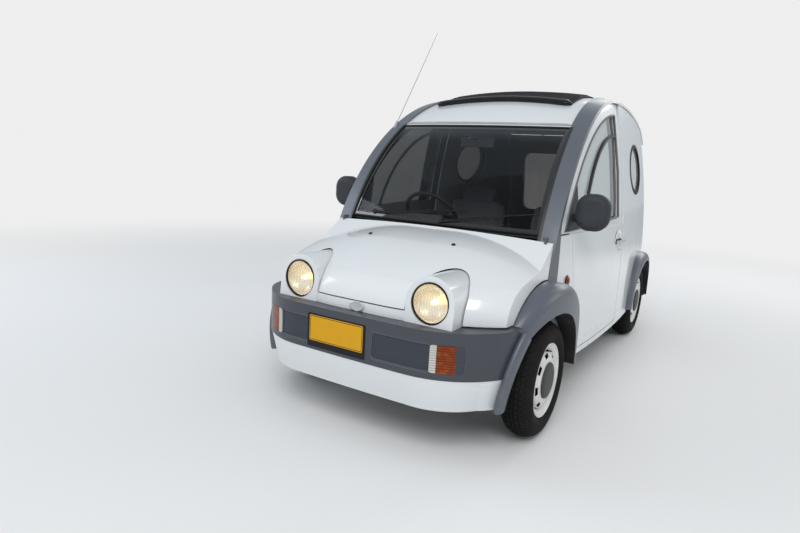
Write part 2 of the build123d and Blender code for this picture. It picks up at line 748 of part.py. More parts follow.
for side in (-1, 1):
    with BuildPart() as indicator:
        add(plan_prism(-1, BUMPER_SPLIT, BUMPER_TOP))
        add(plan_prism(LIGHT_DEPTH, BUMPER_SPLIT - 1, BUMPER_TOP + 1), mode=Mode.SUBTRACT)
        with BuildSketch(Plane.XZ.offset(1800)):
            with Locations((side * LIGHT_X, LIGHT_Z)):
                RectangleRounded(LIGHT_SIZE[0] - 2 * SEAT_GAP, LIGHT_SIZE[1] - 2 * SEAT_GAP, 11)
        extrude(amount=-300, mode=Mode.INTERSECT)
    indicator_row.append(indicator.part)
save("front_indicators", Compound(indicator_row))
with BuildPart() as number_plate:
    with BuildSketch(Plane.XZ.offset(1738)):
        with Locations((PLATE_X, PLATE_Z - 12)):
            RectangleRounded(PLATE_BACK[0] - 2 * SEAT_GAP, PLATE_BACK[1] - 2 * SEAT_GAP, 9)
    extrude(amount=-14 + SEAT_GAP)
    with BuildSketch(Plane.XZ.offset(1740)):
        with Locations((PLATE_X, PLATE_Z)):
            RectangleRounded(310, 125, 8)
    extrude(amount=-4)
save("number_plate", number_plate.part)

# Wheel arch flares
band_front = block(-900, 900, FLARE_Y, 2000, 0, 1200)
ahead_of_flare = side_prism([(-1505, 0), (-1385, 640), (-2000, 640), (-2000, 0)], -900, 900)


def flare(axle_y, centre, radius, reach, plan):
    """A rounded arch standing out of the body side round one wheel."""
    shells = []
    for inner in (0, FLARE_SKIN):
        with BuildPart() as bulge:
            with BuildSketch(Plane.XY.offset(FLARE_LOW - 50)):
                with BuildLine():
                    points = [(x - inner, y) for x, y in plan]
                    ThreePointArc(*points)
                    Polyline(points[2], (500, points[2][1]), (500, points[0][1]), points[0])
                make_face()
            extrude(amount=900)
            with BuildSketch(Plane.YZ.offset(400)):
                with Locations(centre):
                    Circle(radius - inner)
            extrude(amount=500, mode=Mode.INTERSECT)
            rim = bulge.edges().filter_by(lambda e: e.center().X > 600)
            rim = rim.filter_by(lambda e: e.center().Z > FLARE_LOW)
            fillet(rim, reach - inner)
        shells.append(bulge.part)
    with BuildPart() as arch:
        add(shells[0])
        add(shells[1], mode=Mode.SUBTRACT)
        with BuildSketch(Plane.YZ.offset(400)):
            with Locations((axle_y, TYRE_RADIUS)):
                Circle(ARCH_RADIUS + FLARE_SKIN)
                Circle(ARCH_RADIUS, mode=Mode.SUBTRACT)
        extrude(amount=500, mode=Mode.ADD)
        add(shells[0], mode=Mode.INTERSECT)
        add(disc(axle_y, TYRE_RADIUS, ARCH_RADIUS, 300, 900), mode=Mode.SUBTRACT)
        add(block(300, 900, -2000, 2000, 0, FLARE_LOW), mode=Mode.SUBTRACT)
        if axle_y < 0:
            add(side_form(SEAT_GAP, *nose_side), mode=Mode.SUBTRACT)
            add(ahead_of_flare, mode=Mode.SUBTRACT)
            add(intersected(side_form(BAND_PROUD + SEAT_GAP), band_front), mode=Mode.SUBTRACT)
        else:
            add(side_form(SEAT_GAP), mode=Mode.SUBTRACT)
    return arch.part


flares_front = flare(
    FRONT_AXLE_Y, (FLARE_Y, FLARE_Z), FLARE_RADIUS, 60, ((660, -1470), (781, -1120), (759, -660))
)
flares_rear = flare(
    REAR_AXLE_Y, (REAR_AXLE_Y, TYRE_RADIUS), REAR_FLARE_RADIUS, 50, ((772, 700), (797, 1140), (760, 1600))
)
save("flares_front", Compound([flares_front, mirrored(flares_front)]))
save("flares_rear", Compound([flares_rear, mirrored(flares_rear)]))


def tail_plan(inset):
    """The rear bumper seen from above, as a thick plate grown or shrunk by inset."""
    y = TAIL_BUMPER_Y - inset
    x = TAIL_BUMPER_X - inset
    with BuildPart() as prism:
        with BuildSketch(Plane.XY.offset(VALANCE_BOTTOM + 20)):
            with BuildLine():
                ThreePointArc((-560, y - 30), (0, y), (560, y - 30))
                ThreePointArc((560, y - 30), (x - 40, y - 90), (x, 1560))
                Polyline((x, 1560), (x, 1470), (-x, 1470), (-x, 1560))
                ThreePointArc((-x, 1560), (-x + 40, y - 90), (-560, y - 30))
            make_face()
        extrude(amount=TAIL_BUMPER_TOP - VALANCE_BOTTOM - 20)
    return prism.part


# Floor with its wheel tubs, firewall and front inner wings
floor_sides = between_sides(WALL + SEAT_GAP)
tub_x = 540
rear_tub = [
    ring(REAR_AXLE_Y, TYRE_RADIUS, ARCH_RADIUS + ARCH_SKIN, ARCH_RADIUS, tub_x, 800),
    disc(REAR_AXLE_Y, TYRE_RADIUS, ARCH_RADIUS + ARCH_SKIN, tub_x - ARCH_SKIN, tub_x),
]
front_tub = [
    ring(FRONT_AXLE_Y, TYRE_RADIUS, ARCH_RADIUS + ARCH_SKIN, ARCH_RADIUS, TUNNEL_X, 700),
    disc(FRONT_AXLE_Y, TYRE_RADIUS, ARCH_RADIUS + ARCH_SKIN, TUNNEL_X - ARCH_SKIN, TUNNEL_X),
]
rear_box = intersected(block(300, 900, 0, 2000, FLOOR_TOP - 20, 900), side_form(0))
front_box = intersected(block(300, 900, FIREWALL_Y + SEAT_GAP, 0, FLOOR_TOP - 20, 900), floor_sides)
rear_space = disc(REAR_AXLE_Y, TYRE_RADIUS, ARCH_RADIUS, tub_x, 900)
front_space = disc(FRONT_AXLE_Y, TYRE_RADIUS, ARCH_RADIUS, TUNNEL_X, 900)
behind_floor = cut(block(-900, 900, 1480, 1800, 0, 500), tail_plan(BUMPER_WALL + SEAT_GAP))
with BuildPart() as firewall:
    add(block(-900, 900, FIREWALL_Y - 14, FIREWALL_Y, UNDER_FLOOR, BASE_Z - SEAT_GAP))
    add(block(-900, 900, FIREWALL_Y - 80, FIREWALL_Y, BASE_Z - 14, BASE_Z - SEAT_GAP))
    add(floor_sides, mode=Mode.INTERSECT)
    add(roof_form(-BAND_DEPTH - SEAT_GAP), mode=Mode.INTERSECT)
    add(front_space, mode=Mode.SUBTRACT)
    add(mirrored(front_space), mode=Mode.SUBTRACT)
save("firewall", firewall.part)
with BuildPart() as floor_pan:
    add(block(-900, 900, FIREWALL_Y + SEAT_GAP, TAIL_BUMPER_Y, UNDER_FLOOR, FLOOR_TOP))
    add(floor_sides, mode=Mode.INTERSECT)
    add(behind_floor, mode=Mode.SUBTRACT)
    for tub, tub_box in ((rear_tub, rear_box), (front_tub, front_box)):
        for shape in tub:
            add(intersected(shape, tub_box))
            add(mirrored(intersected(shape, tub_box)))
    for shape in (rear_space, front_space):
        add(shape, mode=Mode.SUBTRACT)
        add(mirrored(shape), mode=Mode.SUBTRACT)
    add(block(-LOAD_HALF, LOAD_HALF, LOAD_FRONT, LOAD_REAR, UNDER_FLOOR, LOAD_TOP))
save("floor_pan", floor_pan.part)
wing_rear = FIREWALL_Y - 14 - SEAT_GAP
wing_side = [(-1480, 250), (wing_rear, 250), (wing_rear, 780), (-1300, 700), (-1480, 560)]
horn = block(TUNNEL_X - 30, TUNNEL_X, -1740, -1470, 440, 500)
with BuildPart() as wing_left:
    add(front_tub[0])
    add(block(300, 900, -2000, wing_rear, 270, 900), mode=Mode.INTERSECT)
    add(side_form(0, *nose_side), mode=Mode.INTERSECT)
    add(side_prism(wing_side, TUNNEL_X - INNER_SKIN, TUNNEL_X))
    add(intersected(horn, plan_prism(BUMPER_WALL + SEAT_GAP, BUMPER_SPLIT, BUMPER_TOP)))
with BuildPart() as inner_wings:
    add(wing_left.part)
    add(mirrored(wing_left.part))
    add(block(-TUNNEL_X, TUNNEL_X, -1560, -1460, 300, 340))
save("inner_wings", inner_wings.part)

# Tailgate with its window
with BuildPart() as tailgate:
    add(walls_out)
    add(roof_out, mode=Mode.INTERSECT)
    add(intersected(walls_in, roof_in), mode=Mode.SUBTRACT)
    add(block(-HATCH_HALF, HATCH_HALF, 1200, 2000, HATCH_BOTTOM, HATCH_TOP), mode=Mode.INTERSECT)
    with BuildSketch(Plane.XZ.offset(-1200)):
        with Locations((0, REAR_PANE[2])):
            RectangleRounded(REAR_PANE[0], REAR_PANE[1], 70)
    extrude(amount=-700, mode=Mode.SUBTRACT)
    leaf_from = HATCH_HINGE_X + SEAT_GAP
    leaf_to = leaf_from + BARREL_LONG
    for shape in (
        disc(hatch_y, hatch_z, HATCH_BARREL, leaf_from, leaf_to),
        block(leaf_from, leaf_to, hatch_y + 1, hatch_y + HATCH_BARREL + 5, hatch_z - 42, hatch_z),
    ):
        add(shape)
        add(mirrored(shape))
with BuildPart() as tailgate_glass:
    add(walls(-4))
    add(roof_form(-4), mode=Mode.INTERSECT)
    add(intersected(walls(-4 - GLASS), roof_form(-4 - GLASS)), mode=Mode.SUBTRACT)
    with BuildSketch(Plane.XZ.offset(-1200)):
        with Locations((0, REAR_PANE[2])):
            RectangleRounded(REAR_PANE[0] - 2 * SEAT_GAP, REAR_PANE[1] - 2 * SEAT_GAP, 70)
    extrude(amount=-700, mode=Mode.INTERSECT)
save("tailgate", tailgate.part)
save("tailgate_glass", tailgate_glass.part)

# Rear bumper and its lamps
rear_clear = disc(REAR_AXLE_Y, TYRE_RADIUS, REAR_FLARE_RADIUS + SHUT_GAP, -900, 900)
lamp_x, lamp_z, lamp_wide, lamp_high = TAIL_LAMP
with BuildPart() as rear_bumper:
    add(tail_plan(0))
    add(tail_plan(BUMPER_WALL), mode=Mode.SUBTRACT)
    add(rear_clear, mode=Mode.SUBTRACT)
    for side in (-1, 1):
        with BuildSketch(Plane.XZ.offset(-1800)):
            with Locations((side * lamp_x, lamp_z)):
                RectangleRounded(lamp_wide, lamp_high, 14)
        extrude(amount=300, mode=Mode.SUBTRACT)
tail_lamps = []
for side in (-1, 1):
    with BuildPart() as lamp:
        add(tail_plan(-2))
        add(tail_plan(LIGHT_DEPTH), mode=Mode.SUBTRACT)
        with BuildSketch(Plane.XZ.offset(-1800)):
            with Locations((side * lamp_x, lamp_z)):
                RectangleRounded(lamp_wide - 2 * SEAT_GAP, lamp_high - 2 * SEAT_GAP, 13)
        extrude(amount=300, mode=Mode.INTERSECT)
    tail_lamps.append(lamp.part)
save("rear_bumper", rear_bumper.part)
save("tail_lamps", Compound(tail_lamps))

# Wheels
WHEELS = (("fl", 1, FRONT_AXLE_Y), ("fr", -1, FRONT_AXLE_Y), ("rl", 1, REAR_AXLE_Y), ("rr", -1, REAR_AXLE_Y))
for corner, side, axle_y in WHEELS:
    centre = (side * WHEEL_X, axle_y, TYRE_RADIUS)
    across = Plane(origin=centre, x_dir=(side, 0, 0), z_dir=(0, -side, 0))
    spin = Axis(centre, (1, 0, 0))
    half = TYRE_WIDTH / 2
    with BuildPart() as tyre:
        with BuildSketch(across):
            with BuildLine():
                ThreePointArc((-half + 18, 268), (0, TYRE_RADIUS), (half - 18, 268))
                ThreePointArc((half - 18, 268), (half, 230), (57, FLANGE_RADIUS + 1.5))
                Polyline(
                    (57, FLANGE_RADIUS + 1.5), (52, BEAD_RADIUS + 10), (48, BEAD_RADIUS + SEAT_GAP),
                    (-48, BEAD_RADIUS + SEAT_GAP), (-52, BEAD_RADIUS + 10), (-57, FLANGE_RADIUS + 1.5),
                )
                ThreePointArc((-57, FLANGE_RADIUS + 1.5), (-half, 230), (-half + 18, 268))
            make_face()
        revolve(axis=spin, revolution_arc=360)
    with BuildPart() as rim:
        with BuildSketch(across):
            Polygon(
                (-60, FLANGE_RADIUS - 6), (-60, BEAD_RADIUS - 14), (-36, BEAD_RADIUS - 26),
                (44, BEAD_RADIUS - 26), (58, BEAD_RADIUS - 12), (64, FLANGE_RADIUS - 2), (60, FLANGE_RADIUS),
                (54, FLANGE_RADIUS - 8), (50, BEAD_RADIUS), (-52, BEAD_RADIUS), (-56, FLANGE_RADIUS - 6),
                align=None,
            )
            Polygon(
                (8, BEAD_RADIUS - 22), (20, BEAD_RADIUS - 22), (34, 120), (38, 92), (24, 74),
                (24, HUB_RADIUS + RUN_GAP), (12, HUB_RADIUS + RUN_GAP), (12, 80), (26, 96), (22, 118),
                align=None,
            )
        revolve(axis=spin, revolution_arc=360)
        with BuildSketch(across):
            with BuildLine():
                ThreePointArc((44, 0), (40, 40), (26, 62))
                Polyline((26, 62), (16, 62), (16, 0), (44, 0))
            make_face()
        revolve(axis=spin, revolution_arc=360)
        with BuildSketch(Plane(origin=centre, x_dir=(0, 1, 0), z_dir=(side, 0, 0))):
            with PolarLocations(128, 12):
                RectangleRounded(16, 36, 6)
        extrude(amount=60, mode=Mode.SUBTRACT)
    save("tyre_" + corner, tyre.part)
    save("rim_" + corner, rim.part)

# Front knuckles, their struts and lower arms, and the rear axle
for name, side in (("left", 1), ("right", -1)):
    with BuildPart() as knuckle:
        for x_from, x_to, radius in (
            (KINGPIN_X, WHEEL_X + 11.6, 46),
            (WHEEL_X + 11.6, SPINDLE_END, HUB_RADIUS),
            (KINGPIN_X + 38, KINGPIN_X + 50, 118),
            (KINGPIN_X + 50, KINGPIN_X + 75, 66),
        ):
            with BuildSketch(Plane.YZ.offset(side * x_from)):
                with Locations((FRONT_AXLE_Y, TYRE_RADIUS)):
                    Circle(radius)
            extrude(amount=side * (x_to - x_from))
        with Locations((side * KINGPIN_X, FRONT_AXLE_Y, TYRE_RADIUS)):
            Sphere(46)
        with BuildSketch(Plane.XY.offset(ARM_TOP + RUN_GAP)):
            with Locations((side * KINGPIN_X, FRONT_AXLE_Y)):
                Circle(24)
        extrude(amount=UPRIGHT_TOP - ARM_TOP - RUN_GAP)
    save("knuckle_" + name, knuckle.part)
bracket_x = TUNNEL_X - INNER_SKIN - SEAT_GAP
with BuildPart() as front_suspension:
    with BuildSketch(Plane.XY.offset(ARM_TOP - 26)):
        with Locations((0, FRONT_AXLE_Y + 20)):
            Rectangle(820, 70)
        for side in (-1, 1):
            with BuildLine():
                Polyline(
                    (side * 400, FRONT_AXLE_Y - 60), (side * 400, FRONT_AXLE_Y + 55),
                    (side * KINGPIN_X, FRONT_AXLE_Y + 20), (side * KINGPIN_X, FRONT_AXLE_Y - 20),
                    (side * 400, FRONT_AXLE_Y - 60),
                )
            make_face()
            with Locations((side * KINGPIN_X, FRONT_AXLE_Y)):
                Circle(26)
    extrude(amount=26)
    for side in (-1, 1):
        with Locations((side * (bracket_x - 6), FRONT_AXLE_Y + 20, ARM_TOP + 38)):
            Box(12, 60, 120)
strut_row = []
for side in (-1, 1):
    with BuildPart() as strut:
        with BuildSketch(Plane.XY.offset(UPRIGHT_TOP + RUN_GAP)):
            with Locations((side * KINGPIN_X, FRONT_AXLE_Y)):
                Circle(20)
        extrude(amount=300)
        add(disc(FRONT_AXLE_Y, TYRE_RADIUS, ARCH_RADIUS - SEAT_GAP, -900, 900), mode=Mode.INTERSECT)
    strut_row.append(strut.part)
    shaft_ends = sorted((side * (TUNNEL_X + SEAT_GAP), side * (KINGPIN_X - 51)))
    strut_row.append(disc(FRONT_AXLE_Y, TYRE_RADIUS, 14, *shaft_ends))
save("front_suspension", Compound([front_suspension.part] + strut_row))
trail_arm = [
    (740, 226), (740, UNDER_FLOOR - SEAT_GAP), (830, UNDER_FLOOR - SEAT_GAP), (1120, 330), (1180, 330),
    (1180, 250), (1120, 245), (830, 226),
]
with BuildPart() as rear_axle:
    with BuildSketch(Plane.YZ.offset(-TRAIL_X[0])):
        with Locations((900, 245)):
            Circle(22)
    extrude(amount=2 * TRAIL_X[0])
    for side in (-1, 1):
        with BuildSketch(Plane.YZ.offset(side * TRAIL_X[0])):
            Polygon(*trail_arm, align=None)
        extrude(amount=side * (TRAIL_X[1] - TRAIL_X[0]))
        for x_from, x_to, radius in (
            (TRAIL_X[0], WHEEL_X + 11.6, 46),
            (WHEEL_X + 11.6, SPINDLE_END, HUB_RADIUS),
            (628, 650, 110),
        ):
            with BuildSketch(Plane.YZ.offset(side * x_from)):
                with Locations((REAR_AXLE_Y, TYRE_RADIUS)):
                    Circle(radius)
            extrude(amount=side * (x_to - x_from))
save("rear_axle", rear_axle.part)

# Engine, exhaust and fuel tank
with BuildPart() as engine_block:
    with Locations((0, ENGINE_REAR - 190, 500)):
        Box(560, 380, 400)
    fillet(engine_block.edges(), 18)
    for side in (-1, 1):
        with Locations((side * (bracket_x - 72), -1180, 420)):
            Box(144, 60, 40)
save("engine_block", engine_block.part)
with BuildPart() as exhaust:
    with BuildLine() as run:
        FilletPolyline(
            (PIPE_X, ENGINE_REAR + SEAT_GAP, 340), (PIPE_X, -972, 340), (PIPE_X, -935, PIPE_Z),
            (PIPE_X, 1330, PIPE_Z), radius=30,
        )
    with BuildSketch(Plane(origin=run.line @ 0, z_dir=run.line % 0)):
        Circle(20)
    sweep()
    with BuildSketch(Plane.XZ.offset(-1330)):
        with Locations((PIPE_X, 190)):
            RectangleRounded(230, 120, 58)
    extrude(amount=-250)
    with BuildSketch(Plane.XZ.offset(-1580)):
        with Locations((PIPE_X + 60, 190)):
            Circle(17)
    extrude(amount=-150)
    for hanger_y, hanger_z in ((1400, 230), (200, 205)):
        with Locations((PIPE_X, hanger_y, (hanger_z + UNDER_FLOOR - SEAT_GAP) / 2)):
            Box(30, 12, UNDER_FLOOR - SEAT_GAP - hanger_z)
save("exhaust", exhaust.part)
with BuildPart() as fuel_tank:
    with Locations((-90, 560, UNDER_FLOOR - SEAT_GAP - 50)):
        Box(520, 420, 100)
    fillet(fuel_tank.edges().filter_by(Axis.Z), 40)
save("fuel_tank", fuel_tank.part)

# Cab: dashboard, steering wheel and two seats
column_dir = Vector(0, -sin(radians(WHEEL_TILT)), -cos(radians(WHEEL_TILT)))
steer_plane = Plane(origin=STEER_HUB, x_dir=(1, 0, 0), z_dir=column_dir)
dash_front = FIREWALL_Y + SEAT_GAP
dash_side = [(dash_front, 915), (-700, 945), (-600, 925), (-560, 860), (-610, 700), (dash_front, 700)]
with BuildPart() as dashboard:
    add(side_prism(dash_side, -590, 590))
    with BuildSketch(Plane.YZ.offset(-520)):
        Polygon((-640, 900), (-600, 975), (-560, 960), (-570, 880), align=None)
    extrude(amount=360)
    with BuildSketch(steer_plane.offset(SHROUD_FROM)):
        Circle(32)
    extrude(amount=170)
save("dashboard", dashboard.part)
with BuildPart() as steering_wheel:
    with BuildSketch(steer_plane):
        Circle(48)
    extrude(amount=30)
    with BuildSketch(steer_plane):
        Rectangle(2 * STEER_RADIUS - 14, 30)
        with Locations((0, -86)):
            Rectangle(30, 172)
    extrude(amount=12)
    with BuildSketch(steer_plane):
        Circle(20)
    extrude(amount=SHROUD_FROM - SEAT_GAP)
    with BuildSketch(Plane(origin=STEER_HUB, x_dir=(1, 0, 0), z_dir=steer_plane.y_dir)):
        with Locations((STEER_RADIUS, 0)):
            Circle(13)
    revolve(axis=Axis(STEER_HUB, column_dir), revolution_arc=360)
save("steering_wheel", steering_wheel.part)
seat_row = []
for side in (-1, 1):
    with BuildPart() as seat:
        with BuildSketch(Plane.YZ.offset(side * 110)):
            with BuildLine():
                FilletPolyline(
                    (-230, SEAT_FOOT), (-230, 540), (150, 500), (290, 1130), (400, 1130), (300, 480),
                    (260, SEAT_FOOT), (-230, SEAT_FOOT), radius=30, close=False,
                )
            make_face()
        extrude(amount=side * 450)
    seat_row.append(seat.part)
save("seats", Compound(seat_row))

# Wipers lying on the glass, and the mast aerial on the right pillar
wiper_row = []
for start, end in (((-423, 990), (188, 1039)), ((28, 977), (560, 1054))):
    with BuildPart() as wiper:
        with BuildSketch(Plane.XZ.offset(600)):
            with BuildLine():
                Line(start, end)
            trace(line_width=9)
        extrude(amount=600)
        add(cut(roof_form(9), roof_form(SEAT_GAP)), mode=Mode.INTERSECT)
    wiper_row.append(wiper.part)
save("wipers", Compound(wiper_row))
mast_foot = Vector(-622, -478, 1502)
mast_tip = Vector(-620, 26, 2210)
with BuildPart() as antenna:
    with BuildSketch(Plane(origin=mast_foot, z_dir=mast_tip - mast_foot)):
        Circle(9)
    extrude(amount=60)
    with BuildSketch(Plane(origin=mast_foot, z_dir=mast_tip - mast_foot)):
        Circle(2.6)
    extrude(amount=(mast_tip - mast_foot).length)
    add(roof_form(BAND_TOP_PROUD + SEAT_GAP), mode=Mode.SUBTRACT)
save("antenna", antenna.part)
with BuildPart() as inner_mirror:
    with Locations((0, -500, 1430)):
        Box(220, 22, 60)
    fillet(inner_mirror.edges(), 8)
    with BuildSketch(Plane.XZ.offset(500)):
        with Locations((0, 1450)):
            Circle(9)
    extrude(amount=160)
    add(roof_form(-GLASS - SEAT_GAP), mode=Mode.INTERSECT)
save("inner_mirror", inner_mirror.part)
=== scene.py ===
from math import cos, hypot, pi, radians, sin, sqrt, tan
import bmesh
import bpy
from mathutils import Matrix, Vector


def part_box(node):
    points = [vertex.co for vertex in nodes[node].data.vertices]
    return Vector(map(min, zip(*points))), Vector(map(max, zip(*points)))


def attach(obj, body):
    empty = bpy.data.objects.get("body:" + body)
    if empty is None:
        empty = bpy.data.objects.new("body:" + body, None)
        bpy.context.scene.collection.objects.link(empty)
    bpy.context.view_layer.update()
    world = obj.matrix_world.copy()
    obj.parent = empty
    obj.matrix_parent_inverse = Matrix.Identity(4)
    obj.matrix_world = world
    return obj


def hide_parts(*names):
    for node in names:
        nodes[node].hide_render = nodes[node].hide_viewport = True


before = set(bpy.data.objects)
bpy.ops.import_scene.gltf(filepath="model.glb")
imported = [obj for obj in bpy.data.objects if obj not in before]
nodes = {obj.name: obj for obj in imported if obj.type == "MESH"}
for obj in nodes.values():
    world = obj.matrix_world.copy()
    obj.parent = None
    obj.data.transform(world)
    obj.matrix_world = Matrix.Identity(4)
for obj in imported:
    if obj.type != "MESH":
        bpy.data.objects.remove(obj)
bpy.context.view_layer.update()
scene = bpy.context.scene

# Cab, in metres: the screen's arc (along, up, radius), the roof's radius and the depth of its crown's axis
SCREEN_ARC = (0.31, 0.405, 1.4)
ROOF_ARC = 5.5
CROWN_AXIS = 1.5

# How far the edge of the screen lies in from the body side
SCREEN_INSET = 0.085

# Body side, an upright arc turned about an upright axis: its half width, where it is widest, where it starts
# to lean in, the radius of the arc, and how far the axis lies beyond the arc's own middle
SIDE_HALF = 0.755
SIDE_MIDDLE = 0.3
SIDE_WAIST = 0.56
SIDE_RISE = 5.0
SIDE_TURN = 6.0

# Tailgate: its foot (along, up) and its lean
TAIL_FOOT = (1.734, 0.3)
TAIL_LEAN = radians(9.6)


def middle_of(name):
    """Middle of a node's box, to the millimetre."""
    return [round((low + high) / 2, 3) for low, high in zip(*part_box(name))]


WHEEL_X, FRONT_AXLE, AXLE_Z = middle_of("tyre_fl")
REAR_AXLE = middle_of("tyre_rl")[1]
LIGHT_Z = middle_of("front_indicators")[2]
HANDLE_AT = tuple(middle_of("handle_left")[1:])
SCREEN_LOW, SCREEN_HIGH = (round(corner[2], 3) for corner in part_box("windscreen"))

# Headlamp's middle, the plate's middle and half size, and the edges of the canvas
LAMP = (0.368, -1.652, 0.696)
PLATE = (middle_of("number_plate")[0], 0.497)
PLATE_HALF = (0.155, 0.0625)
CANVAS_HALF = 0.46
CANVAS_FRONT, CANVAS_REAR = -0.205, 0.905

# Where patterns lie: bow of the door window, bumper pockets, bonnet lugs, and bounds of the lamp colours
RAIL_MIDDLE = (0.2098, 0.7725)
RAIL_RADIUS, RAIL_HALF = 0.7555, 0.009
POCKET = (0.128, 0.428)
POCKET_HIGH, POCKET_CORNER = 0.062, 0.024
LUG = (0.622, 0.635)
STRIP_X = 0.4475
CLEAR_X, AMBER_X = 0.421, 0.513


def side_x(y, z, out=0.0):
    """Half width of the body at one place of its side."""
    rise = SIDE_RISE + out
    turned = SIDE_TURN + (rise if z < SIDE_WAIST else sqrt(rise**2 - (z - SIDE_WAIST) ** 2))
    return SIDE_HALF - SIDE_RISE - SIDE_TURN + sqrt(turned**2 - (y - SIDE_MIDDLE) ** 2)


def roof_z(x, y):
    """Height of the roof over one place of the plan."""
    arc_y, arc_z, arc = SCREEN_ARC
    if y < arc_y:
        line = arc_z + sqrt(arc**2 - (y - arc_y) ** 2)
    else:
        line = arc_z + arc - ROOF_ARC + sqrt(ROOF_ARC**2 - (y - arc_y) ** 2)
    return sqrt((line + CROWN_AXIS) ** 2 - x**2) - CROWN_AXIS


def screen_y(x, z, out=0.0):
    """Place along the van of the windscreen arc at one width and height."""
    arc_y, arc_z, arc = SCREEN_ARC
    line = hypot(x, z + CROWN_AXIS) - CROWN_AXIS
    return arc_y - sqrt((arc + out) ** 2 - (line - arc_z) ** 2)


def tail_y(x, z, out=0.0):
    """Place along the van of the tailgate's outer face."""
    line = hypot(x, z + CROWN_AXIS) - CROWN_AXIS
    return TAIL_FOOT[0] - (line - TAIL_FOOT[1]) * tan(TAIL_LEAN) + out


# Finishes


class Wire:
    """One output in a material, which plain sums can use."""

    def __init__(self, coat, socket):
        self.coat = coat
        self.socket = socket

    def sum(self, operation, *parts):
        return self.coat.node("ShaderNodeMath", {"operation": operation}, dict(enumerate(parts)))

    def root(self):
        return self.sum("SQRT", self)

    def sign(self):
        return self.sum("SIGN", self)

    def __add__(self, other):
        return self.sum("ADD", self, other)

    __radd__ = __add__

    def __mul__(self, other):
        return self.sum("MULTIPLY", self, other)

    def __sub__(self, other):
        return self.sum("SUBTRACT", self, other)

    def __rsub__(self, other):
        return self.sum("SUBTRACT", other, self)

    def __abs__(self):
        return self.sum("ABSOLUTE", self)

    def most(self, other):
        return self.sum("MAXIMUM", self, other)

    def least(self, other):
        return self.sum("MINIMUM", self, other)

    def far(self, other):
        """Length of the line with these two legs."""
        return (self * self + other * other).root()

    def ripple(self, pitch):
        return self.sum("SINE", self * (2 * pi / pitch)) * 0.5 + 0.5

    def rise(self, low, high):
        """0 at low, 1 at high, smooth between them."""
        settings = {"interpolation_type": "SMOOTHSTEP"}
        return self.coat.node("ShaderNodeMapRange", settings, {0: self, 1: low, 2: high, 3: 0.0, 4: 1.0})

    def between(self, low, high, soft):
        return self.rise(low - soft, low) * (1 - self.rise(high, high + soft))


class Coat:
    """One finish: a material, and the place on the van that its patterns follow."""

    def __init__(self, name):
        self.material = bpy.data.materials.new(name)
        self.material.use_nodes = True
        self.tree = self.material.node_tree
        self.tree.nodes.clear()
        self.place = self.node("ShaderNodeTexCoord", {}, {}, "Object")
        self.x, self.y, self.z = self.parts_of(self.place)

    def node(self, kind, settings, inputs, output=0):
        made = self.tree.nodes.new(kind)
        for name, value in settings.items():
            setattr(made, name, value)
        for name, value in inputs.items():
            if isinstance(value, Wire):
                self.tree.links.new(value.socket, made.inputs[name])
            else:
                made.inputs[name].default_value = value
        return Wire(self, made.outputs[output])

    def parts_of(self, vector):
        return [self.node("ShaderNodeSeparateXYZ", {}, {0: vector}, n) for n in range(3)]

    def facing(self):
        """The surface's own direction, as three wires."""
        return self.parts_of(self.node("ShaderNodeTexCoord", {}, {}, "Normal"))

    def noise(self, scale, detail):
        return self.node("ShaderNodeTexNoise", {}, {"Vector": self.place, "Scale": scale, "Detail": detail})

    def cells(self, scale):
        return self.node("ShaderNodeTexVoronoi", {}, {"Vector": self.place, "Scale": scale})

    def mix(self, factor, first, second):
        inputs = {0: factor}
        for index, colour in ((6, first), (7, second)):
            inputs[index] = colour if isinstance(colour, Wire) else (*colour, 1)
        return self.node("ShaderNodeMix", {"data_type": "RGBA"}, inputs, 2)

    def relief(self, height, depth, strength):
        inputs = {"Height": height, "Distance": depth, "Strength": strength}
        return self.node("ShaderNodeBump", {}, inputs)

    def off_rounded(self, across, up, half_wide, half_high, corner):
        """How far a point lies outside a rounded rectangle, less than nothing inside it."""
        dx = (abs(across) - (half_wide - corner)).most(0)
        dz = (abs(up) - (half_high - corner)).most(0)
        return dx.far(dz) - corner

    def inset(self):
        """How far a point lies in from the surface of the body side."""
        over = (self.z - SIDE_WAIST).most(0)
        rise = (SIDE_RISE**2 - over * over).root() + SIDE_TURN
        along = self.y - SIDE_MIDDLE
        return (rise * rise - along * along).root() - (SIDE_RISE + SIDE_TURN - SIDE_HALF) - abs(self.x)

    def finish(self, colour, **sockets):
        shader = self.tree.nodes.new("ShaderNodeBsdfPrincipled")
        shader.inputs["Base Color"].default_value = (0.5, 0.5, 0.5, 1)
        for name, value in {"base_color": colour, **sockets}.items():
            socket = shader.inputs[name.replace("_", " ").title().replace("Ior", "IOR")]
            if isinstance(value, Wire):
                self.tree.links.new(value.socket, socket)
            elif isinstance(value, tuple) and len(value) == 3:
                socket.default_value = (*value, 1)
            else:
                socket.default_value = value
        end = self.tree.nodes.new("ShaderNodeOutputMaterial")
        self.tree.links.new(shader.outputs[0], end.inputs[0])
        return self.material


SOOT = (0.013, 0.013, 0.014)


